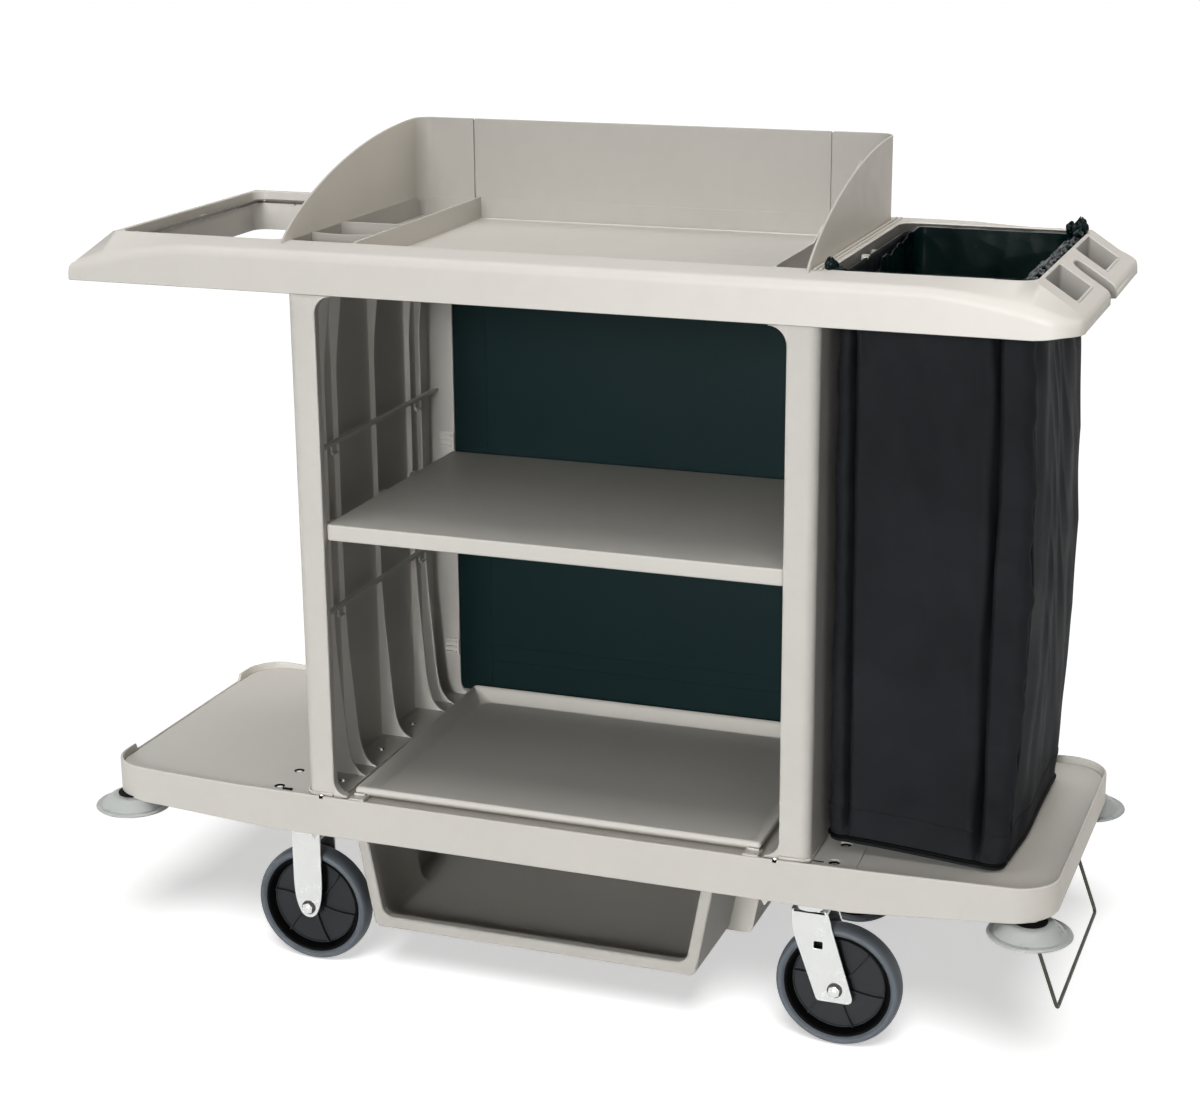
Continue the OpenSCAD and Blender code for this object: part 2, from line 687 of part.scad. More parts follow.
module divider_right() color(PLASTIC) along(divider_right_x, divider_right_x + divider_t)
    polygon([[-hole_y, top_tray_z], [pan_rear, top_tray_z],
        [pan_rear, rim_z + divider_rise + divider_slope * (pan_rear + divider_kink)],
        [-divider_kink, rim_z + divider_rise], [-hole_y, rim_z + divider_rise]]);

module cross_divider() color(PLASTIC)
    block([pan_x0, -cross_front, top_tray_z],
        [divider_left_x, -cross_front + divider_t, rim_z + divider_rise]);

module cup_divider() color(PLASTIC) intersection() {
    h = top_tray_depth + divider_rise;
    translate([(pan_x0 + divider_left_x) / 2, cup_r - cup_front, top_tray_z]) difference() {
        cylinder(h = h, r = cup_r);
        translate([0, 0, -1]) cylinder(h = h + 2, r = cup_r - divider_t);
    }
    block([pan_x0, -hole_y, top_tray_z], [divider_left_x, -2 * cross_front, top_tray_z + h]);
}

// Bag rails and bag

module wire_loop(h) {
    r = rail_d / 2;
    bend = hole_r - rail_gap;
    x0 = h[0] + rail_gap + bend;
    x1 = h[1] - rail_gap - bend;
    y = h[2] - rail_gap - bend;
    for (s = [-1, 1]) {
        translate([x0, s * (y + bend), rail_z]) rotate([0, 90, 0]) cylinder(h = x1 - x0, r = r);
        translate([s > 0 ? x1 + bend : x0 - bend, 0, rail_z]) rod_y(r, -y, y);
    }
    for (i = [0:3])
        translate([i == 0 || i == 3 ? x1 : x0, i < 2 ? y : -y, rail_z])
            rotate_extrude(angle = 90, start = 90 * i) translate([bend, 0]) circle(r);
}

module bag_rail_left() color(STEEL) wire_loop(left_hole);
module bag_rail_right() color(STEEL) wire_loop(right_hole);

clip_reach = 70;
clip_shift = 30;
hook_shift = 30;
hook_end_shift = 40;

// A clip on each wall of an opening: its place and its direction outwards
function clip_places(h) = let (mx = (h[0] + h[1]) / 2)
    [[mx - clip_reach, -h[2], 270], [mx + clip_reach, -h[2], 270], [mx - clip_reach, h[2], 90],
        [mx + clip_reach, h[2], 90], [h[0], clip_shift, 180], [h[1], clip_shift, 0]];

module rail_clips(h) difference() {
    for (p = clip_places(h))
        translate([p[0], p[1], rail_z]) rotate(p[2])
            block([-rail_gap - 1, -6, -5], [0, 6, 2]);
    wire_loop(h);
}

module rail_clips_left() color(PLASTIC) rail_clips(left_hole);
module rail_clips_right() color(PLASTIC) rail_clips(right_hole);

bag_inset = rail_gap + rail_d / 2 + CLEAR;
bag_top_z = rail_z + 4;
bag_foot_z = deck_z + CLEAR;

// Plan outline of the bag at a height, drawn in by a margin
function bag_ring(z, inset) = let (t = (bag_top_z - z) / (bag_top_z - bag_foot_z),
    x0 = right_hole[0] + bag_inset + inset,
    x1 = right_hole[1] - bag_inset - inset + bag_spread * t,
    y = right_hole[2] - bag_inset - inset - bag_draw * t)
    [for (p = round_rect(x0, x1, -y, y, 22 - inset, 5)) [p[0], p[1], z]];

bag_heights = [for (t = [0, 0.04, 0.5, 0.96, 1]) bag_foot_z + t * (bag_top_z - bag_foot_z)];

module laundry_bag() color(CLOTH) difference() {
    loft([for (z = bag_heights) bag_ring(z, 0)]);
    loft([for (z = [bag_foot_z - 1, bag_top_z / 2, bag_top_z + 1]) bag_ring(z, bag_t)]);
}

// Stiff board that closes the foot of the bag
module bag_base() color(CLOTH)
    loft([for (z = [bag_foot_z, bag_foot_z + bag_t]) bag_ring(z, bag_t + CLEAR)]);

liner_t = 0.8;
liner_inset = bag_t + 2;

module bag_liner() color(LINER) {
    inset = bag_inset + liner_inset;
    low = bag_foot_z + bag_t + CLEAR;
    difference() {
        loft([for (z = [low, bag_top_z / 2, rim_z + CLEAR]) bag_ring(z, liner_inset)]);
        loft([for (z = [low + liner_t, bag_top_z / 2, rim_z + 1]) bag_ring(z, liner_inset + liner_t)]);
    }
    difference() {
        slab(rim_z + CLEAR, rim_z + CLEAR + liner_t, hole_outline(right_hole, 2, hole_r));
        slab(rim_z, rim_z + 3, hole_outline(right_hole, -inset - liner_t, hole_r));
    }
}

// Pegs that hook the bag's hem over the rail
module bag_hooks() color(PLASTIC) difference() {
    for (p = clip_places(right_hole)) {
        at_end = p[2] % 180 == 0;
        translate([at_end ? p[0] : p[0] + hook_shift, at_end ? -hook_end_shift : p[1], rail_z]) rotate(p[2])
            block([-bag_inset - bag_t, -5, 0], [-rail_gap + 5, 5, 7]);
    }
    wire_loop(right_hole);
    loft([for (z = bag_heights) bag_ring(z, 0)]);
}

// Casters

leg_gap = tyre_w + 9;
leg_out = leg_gap / 2 + fork_t;
bush_r = axle_d / 2 + 3;
hub_r = wheel_d / 2 - tyre_t;

module tyre() color(TYRE) translate([0, tyre_w / 2, axle_z]) rotate([90, 0, 0]) rotate_extrude($fn = 96) {
    r = wheel_d / 2;
    c = 5;
    polygon([[hub_r, 2], [r - c, 0], [r - 1.2, c - 2], [r, c + 2],
        [r, tyre_w - c - 2], [r - 1.2, tyre_w - c + 2], [r - c, tyre_w], [hub_r, tyre_w - 2]]);
}

module hub() color(HUB) translate([0, 0, axle_z]) {
    rim_half = tyre_w / 2 - 2;
    boss_half = leg_gap / 2 - 1;
    boss_r = bush_r + 9;
    web_half = 4;
    rim_in = hub_r - 6;
    rotate([90, 0, 0]) rotate_extrude($fn = 96)
        polygon([[bush_r, -boss_half], [boss_r, -boss_half], [boss_r + 2, -web_half], [rim_in - 2, -web_half],
            [rim_in, -rim_half], [hub_r, -rim_half], [hub_r, rim_half], [rim_in, rim_half],
            [rim_in - 2, web_half], [boss_r + 2, web_half], [boss_r, boss_half], [bush_r, boss_half]]);
    for (i = [0:hub_ribs - 1]) rotate([0, i * 360 / hub_ribs + 12, 0])
        block([boss_r - 1, -rim_half + 4, -2], [rim_in + 2, rim_half - 4, 2]);
}

module bush() color(STEEL) translate([0, 0, axle_z]) difference() {
    rod_y(bush_r, -leg_gap / 2 + 0.5, leg_gap / 2 - 0.5);
    rod_y(axle_d / 2 + RUN_CLEAR, -leg_gap, leg_gap);
}

module axle_bolt() color(STEEL) translate([0, 0, axle_z]) {
    rod_y(axle_d / 2, -leg_out - 4, leg_out + 4);
    for (s = [-1, 1])
        translate([0, s * (leg_out + 4), 0]) rotate([90, 0, 0])
            cylinder(h = 8, r = axle_d * 0.9, center = true, $fn = 6);
}

// Outlines of the fork legs from the crown down past the axle
foot_r = axle_d / 2 + 11;
leg_taper_z = axle_z + 1.5 * foot_r;
function rigid_leg() = let (half = rigid_leg_half, top_z = crown_z + fork_t)
    concat([[-half, top_z], [half, top_z], [half, leg_taper_z]],
        arc([0, axle_z], foot_r, 5, -185, 12), [[-half, leg_taper_z]]);
function swivel_leg() = let (half = swivel_leg_half, foot = foot_r + 3)
    [[-half, crown_z + fork_t], [half, crown_z + fork_t], [caster_trail + half, axle_z - 10],
        [caster_trail + half - 5, axle_z - foot], [caster_trail - half, axle_z - foot],
        [caster_trail - half - 5, axle_z - foot + 5], [-half, crown_z - 20]];

module fork(leg, trail, crown_r, top_hole) difference() {
    union() {
        for (y = [-leg_out, leg_gap / 2])
            across(y, y + fork_t) polygon(leg);
        block([-crown_r, -leg_out, crown_z], [crown_r, leg_out, crown_top_z]);
    }
    translate([trail, 0, axle_z]) rod_y(axle_d / 2 + RUN_CLEAR, -leg_out - 1, leg_out + 1);
    if (top_hole > 0) translate([0, 0, crown_z - 1]) cylinder(h = race_top_z, r = top_hole);
}

module mount_plate() difference() {
    block([-caster_pad.x / 2, -caster_pad.y / 2, plate_z], [caster_pad.x / 2, caster_pad.y / 2, plate_top_z]);
    for (dx = [-1, 1], dy = [-1, 1])
        translate([dx * plate_bolt_x / 2, dy * plate_bolt_y / 2, plate_z - 1])
            cylinder(h = fork_t + 2, r = plate_bolt_d / 2 + CLEAR);
}

module rigid_fork() color(STEEL) {
    mount_plate();
    fork(rigid_leg(), 0, rigid_leg_half + 2, 0);
    block([-rigid_leg_half + 4, -leg_out, crown_top_z], [rigid_leg_half - 4, leg_out, plate_z]);
}

pin_r = 7;

module swivel_plate() color(STEEL) difference() {
    union() {
        mount_plate();
        translate([0, 0, plate_z - upper_race_h]) cylinder(h = upper_race_h, r = race_r);
    }
    translate([0, 0, plate_z - upper_race_h - 1]) cylinder(h = upper_race_h + fork_t + 2, r = pin_r);
}

module swivel_pin() color(STEEL) {
    translate([0, 0, crown_z - 7 - CLEAR]) cylinder(h = plate_top_z - crown_z + 7 + CLEAR, r = pin_r);
    translate([0, 0, crown_z - 7 - CLEAR]) cylinder(h = 7, r = pin_r + 4, $fn = 6);
}

module swivel_fork() color(STEEL) {
    difference() {
        fork(swivel_leg(), caster_trail, swivel_leg_half, pin_r + RUN_CLEAR);
        translate([0.37 * caster_trail, 0, 0.6 * crown_z + 0.4 * axle_z])
            cube([leg_hole, 3 * leg_out, leg_hole], center = true);
    }
    difference() {
        translate([0, 0, crown_top_z]) cylinder(h = race_h, r1 = race_r - 2, r2 = race_r);
        translate([0, 0, crown_top_z - 1]) cylinder(h = race_h + 2, r = pin_r + RUN_CLEAR);
    }
}

module at_rigid(rear) translate([-rigid_x, rear ? caster_y : -caster_y, 0]) children();

// A free caster stands at any angle: the rear one is turned half round
rear_turn = 180;

module at_swivel(rear) translate([swivel_x, rear ? caster_y : -caster_y, 0])
    rotate([0, 0, rear ? rear_turn : 0]) children();
module at_swivel_wheel(rear) at_swivel(rear) translate([caster_trail, 0, 0]) children();

// Bumpers

module bumper() color(BUMPER) translate([0, 0, bumper_z]) rotate_extrude($fn = 96) {
    bore = bumper_bolt_d / 2 + RUN_CLEAR;
    neck = bumper_bolt_d / 2 + 3;
    top = bumper_seat_z - bumper_z - CLEAR;
    polygon([[bore, 0], [bumper_r - 16, 0], [bumper_r - 3, 1], [bumper_r, 3], [bumper_r - 1, 6],
        [bumper_r - 6, 7], [bumper_r - 14, 7.5], [0.66 * bumper_r, 12], [0.48 * bumper_r, 16],
        [neck + 10, 18], [neck, 18], [neck, top], [bore, top]]);
}

module bumper_bolts() color(STEEL) at_bumpers() {
    translate([0, 0, bumper_z - CLEAR - 5])
        cylinder(h = deck_z - 15 - bumper_z + CLEAR + 5, r = bumper_bolt_d / 2);
    translate([0, 0, bumper_z - CLEAR - 5]) cylinder(h = 5, r = bumper_bolt_d * 0.9, $fn = 6);
}

// Wire bail

bail_rise = 11;
bail_z = base_bottom_z + bail_rise;
bail_bracket_t = 8;
bail_bracket_gap = 4;
bail_bracket_half = 10;
bail_bracket_low = 8;

module bail_rod(a, b) {
    d = b - a;
    len = norm(d);
    translate(a) rotate([0, acos(d.z / len), atan2(d.y, d.x)]) cylinder(h = len, r = bail_d / 2);
}

module wire_bail() color(STEEL) {
    bar = [bail_pivot_x + bail_reach, 0, bail_z - bail_drop];
    ball = bail_d / 2;
    for (s = [-1, 1]) {
        top = [bail_pivot_x, s * bail_half_w, bail_z];
        foot = [bar.x, s * bail_half_w, bar.z];
        bail_rod(foot, top);
        translate(top) sphere(ball);
        translate(foot) sphere(ball);
        bail_rod(top, top + [0, s * (bail_bracket_t + 1.5 * bail_bracket_gap), 0]);
    }
    bail_rod([bar.x, -bail_half_w, bar.z], [bar.x, bail_half_w, bar.z]);
}

module bail_brackets() color(STEEL) for (s = [-1, 1]) {
    inner = bail_half_w + bail_bracket_gap;
    y0 = s > 0 ? inner : -inner - bail_bracket_t;
    difference() {
        block([bail_pivot_x - bail_bracket_half, y0, bail_z - bail_bracket_low],
            [bail_pivot_x + bail_bracket_half, y0 + bail_bracket_t, under_deck_z]);
        translate([bail_pivot_x, 0, bail_z]) rod_y(bail_d / 2 + RUN_CLEAR, y0 - 1, y0 + bail_bracket_t + 1);
    }
}

base_deck();
bottom_tray();
tray_latches();
under_bin();
side_panel_left();
side_panel_right();
shelf_rails_left();
shelf_rails_right();
panel_screws();
back_panel();
panel_clips();
middle_shelf();
top_deck();
hood_left();
hood_rear();
hood_right();
divider_left();
divider_right();
cup_divider();
cross_divider();
bag_rail_left();
bag_rail_right();
rail_clips_left();
rail_clips_right();
laundry_bag();
bag_base();
bag_liner();
bag_hooks();
caster_bolts();
at_rigid(false) rigid_fork();  // rigid_fork_front
at_rigid(false) axle_bolt();  // rigid_axle_front
at_rigid(false) bush();  // rigid_bush_front
at_rigid(false) hub();  // rigid_hub_front
at_rigid(false) tyre();  // rigid_tyre_front
at_rigid(true) rigid_fork();  // rigid_fork_rear
at_rigid(true) axle_bolt();  // rigid_axle_rear
at_rigid(true) bush();  // rigid_bush_rear
at_rigid(true) hub();  // rigid_hub_rear
at_rigid(true) tyre();  // rigid_tyre_rear
at_swivel(false) swivel_plate();  // swivel_plate_front
at_swivel(false) swivel_pin();  // swivel_pin_front
at_swivel(false) swivel_fork();  // swivel_fork_front
at_swivel_wheel(false) axle_bolt();  // swivel_axle_front
at_swivel_wheel(false) bush();  // swivel_bush_front
at_swivel_wheel(false) hub();  // swivel_hub_front
at_swivel_wheel(false) tyre();  // swivel_tyre_front
at_swivel(true) swivel_plate();  // swivel_plate_rear
at_swivel(true) swivel_pin();  // swivel_pin_rear
at_swivel(true) swivel_fork();  // swivel_fork_rear
at_swivel_wheel(true) axle_bolt();  // swivel_axle_rear
at_swivel_wheel(true) bush();  // swivel_bush_rear
at_swivel_wheel(true) hub();  // swivel_hub_rear
at_swivel_wheel(true) tyre();  // swivel_tyre_rear
translate([-bumper_x, -bumper_y, 0]) bumper();  // bumper_front_left
translate([bumper_x, -bumper_y, 0]) bumper();  // bumper_front_right
translate([-bumper_x, bumper_y, 0]) bumper();  // bumper_rear_left
translate([bumper_x, bumper_y, 0]) bumper();  // bumper_rear_right
bumper_bolts();
wire_bail();
bail_brackets();
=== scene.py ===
import json
import math

import bmesh
import bpy
import numpy as np
from bpy.props import FloatProperty, FloatVectorProperty, PointerProperty
from mathutils import Matrix, Vector
from mathutils.geometry import tessellate_polygon


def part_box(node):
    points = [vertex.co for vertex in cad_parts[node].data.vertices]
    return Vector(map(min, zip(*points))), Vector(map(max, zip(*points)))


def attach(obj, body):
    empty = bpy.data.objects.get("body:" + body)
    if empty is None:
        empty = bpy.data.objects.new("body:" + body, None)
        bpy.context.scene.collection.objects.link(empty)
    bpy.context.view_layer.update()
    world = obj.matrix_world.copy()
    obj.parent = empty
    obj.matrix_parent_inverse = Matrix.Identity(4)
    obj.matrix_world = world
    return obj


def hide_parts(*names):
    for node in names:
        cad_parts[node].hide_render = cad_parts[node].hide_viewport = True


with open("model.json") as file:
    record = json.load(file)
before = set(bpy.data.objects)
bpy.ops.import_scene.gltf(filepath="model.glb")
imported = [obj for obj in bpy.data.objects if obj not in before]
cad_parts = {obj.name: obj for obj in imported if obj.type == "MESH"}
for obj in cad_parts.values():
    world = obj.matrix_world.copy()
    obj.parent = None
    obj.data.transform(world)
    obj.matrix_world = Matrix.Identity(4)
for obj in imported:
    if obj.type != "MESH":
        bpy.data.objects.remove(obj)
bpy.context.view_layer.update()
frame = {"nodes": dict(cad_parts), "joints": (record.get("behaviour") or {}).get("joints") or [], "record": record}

bl_info = {
    "name": "Housekeeping cart",
    "version": (1, 0, 0),
    "blender": (4, 5, 0),
    "location": "View3D > Sidebar > Cart",
    "description": "Dresses a packed housekeeping cart with moulded, sewn and plated pieces",
    "category": "Object",
}

MM = 0.001


def corners(node):
    """Lowest and highest corner of a CAD node, in millimetres."""
    low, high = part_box(node)
    return np.array(low) / MM, np.array(high) / MM


# Places and sizes of the frame, in millimetres
(_, _, SKIRT_Z), (BASE_X, BASE_Y, BASE_RIM_Z) = corners("base_deck")
(_, TRAY_FRONT, DECK_Z), (TRAY_X, TRAY_REAR, TRAY_TOP) = corners("bottom_tray")
(_, _, TOP_Z), (TOP_X, TOP_Y, RIM_Z) = corners("top_deck")
(_, POST_FRONT, _), (_, PANEL_REAR, PANEL_TOP) = corners("side_panel_left")
CAB_X = corners("side_panel_right")[1][0]
PAN_Z = corners("divider_left")[0][2]
(HOOD_X0, HOOD_FRONT, _), (_, HOOD_REAR, HOOD_TOP) = corners("hood_left")
HOOD_X1 = corners("hood_right")[1][0]
REAR_WALL_X0, REAR_WALL_X1 = corners("hood_rear")[0][0], corners("hood_rear")[1][0]
RAIL_LEFT, RAIL_RIGHT = corners("bag_rail_left"), corners("bag_rail_right")
JOINTS = {joint["name"]: np.array(joint["pos_m"]) / MM for joint in frame["joints"]}
CASTERS = ("rigid_front_roll", "rigid_rear_roll", "swivel_front_turn", "swivel_rear_turn")
UNDER_DECK_Z = DECK_Z - 4.5

# Radii, walls and slopes of the mouldings, in millimetres
BASE_R = 62.0
WALL = 4.0
RAIL_IN, HOLE_R = 5.0, 22.0
HOOD_T, HOOD_R = 3.5, 26.0
END_H = 23.0
LEFT_R, HANDLE_R = 5.0, 45.0
LEFT_SLOPE, HANDLE_SLOPE = 52.0, 67.0
SHOULDER_RUN = 202.0
RIM_FRONT, RIM_REAR = 222.0, 252.0

# The casters' plates under the deck: their height and half sizes
PLATE_Z, PLATE_X, PLATE_Y = 233.3, 54.0, 44.0


class CartFinish(bpy.types.PropertyGroup):
    """Colours of the cart's materials. Two of them are painted shade: the bin's darker plastic and the black of
    recesses.
    """

    plastic: FloatVectorProperty(name="Cart plastic", description="Moulded decks, panels and hood",
                                 subtype="COLOR", default=(0.560, 0.540, 0.502))
    # Painted shade: the bin's colour is the cart plastic darkened by a fifth, for the shade it lies in under the
    # deck.
    bin: FloatVectorProperty(name="Bin plastic", description="Moulded bin under the deck",
                             subtype="COLOR", default=(0.455, 0.436, 0.402))
    panel: FloatVectorProperty(name="Back panel", description="Dark sheet behind the shelves",
                               subtype="COLOR", default=(0.0030, 0.0128, 0.0137))
    cloth: FloatVectorProperty(name="Bag cloth", description="Coated cloth of the laundry bag",
                               subtype="COLOR", default=(0.0180, 0.0196, 0.0222))
    film: FloatVectorProperty(name="Liner film", description="Thin film of the bag's liner",
                              subtype="COLOR", default=(0.0008, 0.0058, 0.0055))
    tyre: FloatVectorProperty(name="Tyre", description="Grey rubber of the wheels",
                              subtype="COLOR", default=(0.105, 0.122, 0.138))
    hub: FloatVectorProperty(name="Hub", description="Black plastic of the wheels",
                             subtype="COLOR", default=(0.0350, 0.0370, 0.0395))
    # Painted shade: this black stands for the shade in the hubs' deep rims, the gaps over the bumpers, the bolt
    # pockets and slots, round the foot screws and along the bag's foot.
    rim: FloatVectorProperty(name="Rim", description="Black of the hubs' deep rims, seals and recesses",
                             subtype="COLOR", default=(0.0014, 0.0015, 0.0016))
    bumper: FloatVectorProperty(name="Bumper", description="Soft grey of the corner bumpers",
                                subtype="COLOR", default=(0.42, 0.44, 0.43))
    zinc: FloatVectorProperty(name="Zinc plate", description="Plated steel of forks and bolts",
                              subtype="COLOR", default=(0.66, 0.67, 0.66))
    rail: FloatVectorProperty(name="Rail wire", description="Plated wire that carries the bags",
                              subtype="COLOR", default=(0.11, 0.10, 0.085))
    bail: FloatVectorProperty(name="Bail wire", description="Dull wire of the bail at the handle end",
                              subtype="COLOR", default=(0.060, 0.058, 0.046))


class CartSizes(bpy.types.PropertyGroup):
    """Sizes of the dressing that the frame leaves open."""

    edge: FloatProperty(name="Moulded edge", description="Radius of the plastic's outer edges",
                        unit="LENGTH", default=2.0 * MM)
    shoulder: FloatProperty(name="Shoulder", description="Reach of the round along the top deck's front",
                            unit="LENGTH", default=14 * MM)
    end_round: FloatProperty(name="End round", description="Radius over the ends of the top deck",
                             unit="LENGTH", default=6 * MM)
    fold: FloatProperty(name="Corner fold", description="Depth of the folds at the bag's front corner",
                        unit="LENGTH", default=28 * MM)
    bag_lift: FloatProperty(name="Bag lift", description="Height of the bag's front left foot off the deck",
                            unit="LENGTH", default=16 * MM)
    bag_swell: FloatProperty(name="Bag swell", description="How far the bag swells towards the handle end",
                             unit="LENGTH", default=16 * MM)
    crumple: FloatProperty(name="Liner crumple", description="Height of the liner's crumples over the rim",
                           unit="LENGTH", default=9 * MM)
    key_light: FloatProperty(name="Key light", description="Strength of the soft lamp in front of the cart",
                             default=2.8)
    top_light: FloatProperty(name="Top light", description="Strength of the soft lamp over the cart",
                             default=1.7)
    side_light: FloatProperty(name="Side light", description="Strength of the lamp behind the handle end",
                              default=1.0)
    end_light: FloatProperty(name="End light", description="Watts of the soft box at the handle end",
                             default=2.2)
    rib_light: FloatProperty(name="Rib light", description="Strength of the lamp on the cabinet's ribs",
                             default=0.5)
    shelf_light: FloatProperty(name="Shelf light", description="Strength of the high lamp on shelf and tray",
                               default=1.0)
    floor_light: FloatProperty(name="Floor light", description="Strength of the lamp that shades the floor",
                               default=2.4)
    sky_light: FloatProperty(name="Sky light", description="Strength of the even light all round",
                             default=0.06)


def sizes():
    """The sizes in millimetres, lights left as they are."""
    group = bpy.context.scene.cart_sizes
    return {name: getattr(group, name) / (1 if name.endswith("light") else MM)
            for name in CartSizes.__annotations__}


# Outlines and shapes


def smooth(x, low, high):
    """0 below low, 1 above high and an even S curve between them."""
    t = np.clip((x - low) / (high - low), 0, 1)
    return t * t * (3 - 2 * t)


def rounded(points, radius, steps=6):
    """Closed outline through points, with a quarter-round of that radius, or one per point, at each corner.

    Each corner is the rational curve ((1-t)^2 A + 2wt(1-t) P + t^2 B) / (the same weights' sum). A and B lie
    the radius away from the corner P along its two sides, and w is the weight of a quarter circle."""
    p = np.asarray(points, float)
    reach = np.broadcast_to(np.asarray(radius, float), len(p))[:, None]
    back, ahead = np.roll(p, 1, 0) - p, np.roll(p, -1, 0) - p
    back_len, ahead_len = np.linalg.norm(back, axis=1)[:, None], np.linalg.norm(ahead, axis=1)[:, None]
    a = p + back / back_len * np.minimum(reach, 0.499 * back_len)
    b = p + ahead / ahead_len * np.minimum(reach, 0.499 * ahead_len)
    t = np.linspace(0, 1, steps + 1)[None, :, None]
    middle = 2 * math.sqrt(0.5) * t * (1 - t)
    curve = (1 - t) ** 2 * a[:, None] + middle * p[:, None] + t ** 2 * b[:, None]
    return (curve / ((1 - t) ** 2 + middle + t ** 2)).reshape(-1, 2)


def round_rect(x0, x1, y0, y1, radius, steps=6):
    """Closed rectangle with round corners, counterclockwise."""
    return rounded([[x0, y0], [x1, y0], [x1, y1], [x0, y1]], radius, steps)


def circle(x, y, radius, steps=5):
    """Round outline about a point: a square whose corners take up its sides."""
    return round_rect(x - radius, x + radius, y - radius, y + radius, radius, steps)


def along_x(x, y):
    """Plan points at stations x, all at one y."""
    return np.stack([x, np.full(len(x), y)], 1)


def resample(line, count):
    """A line's points moved to even steps of its length."""
    length = np.concatenate([[0], np.cumsum(np.linalg.norm(np.diff(line, axis=0), axis=1))])
    even = np.linspace(0, length[-1], count)
    return np.stack([np.interp(even, length, line[:, k]) for k in range(line.shape[1])], 1)


def place(outline, axis, value):
    """An outline's two numbers and one value for the axis it is square to, as points in space."""
    value = np.broadcast_to(np.asarray(value, float), len(outline))
    return np.insert(np.asarray(outline, float), axis, value, axis=1)


def inset(outline, distance):
    """A closed outline moved inwards by a distance, square to its sides, whichever way round it runs."""
    p = np.asarray(outline, float)
    ahead = np.roll(p, -1, 0) - p
    ahead = ahead / np.maximum(np.linalg.norm(ahead, axis=1), 1e-9)[:, None]
    normal = np.stack([-ahead[:, 1], ahead[:, 0]], 1)
    area = np.sum(p[:, 0] * np.roll(p[:, 1], -1) - np.roll(p[:, 0], -1) * p[:, 1])
    before = np.roll(normal, 1, 0)
    miter = (normal + before) / np.maximum(1 + np.sum(normal * before, 1), 0.3)[:, None]
    return p + np.sign(area) * distance * miter


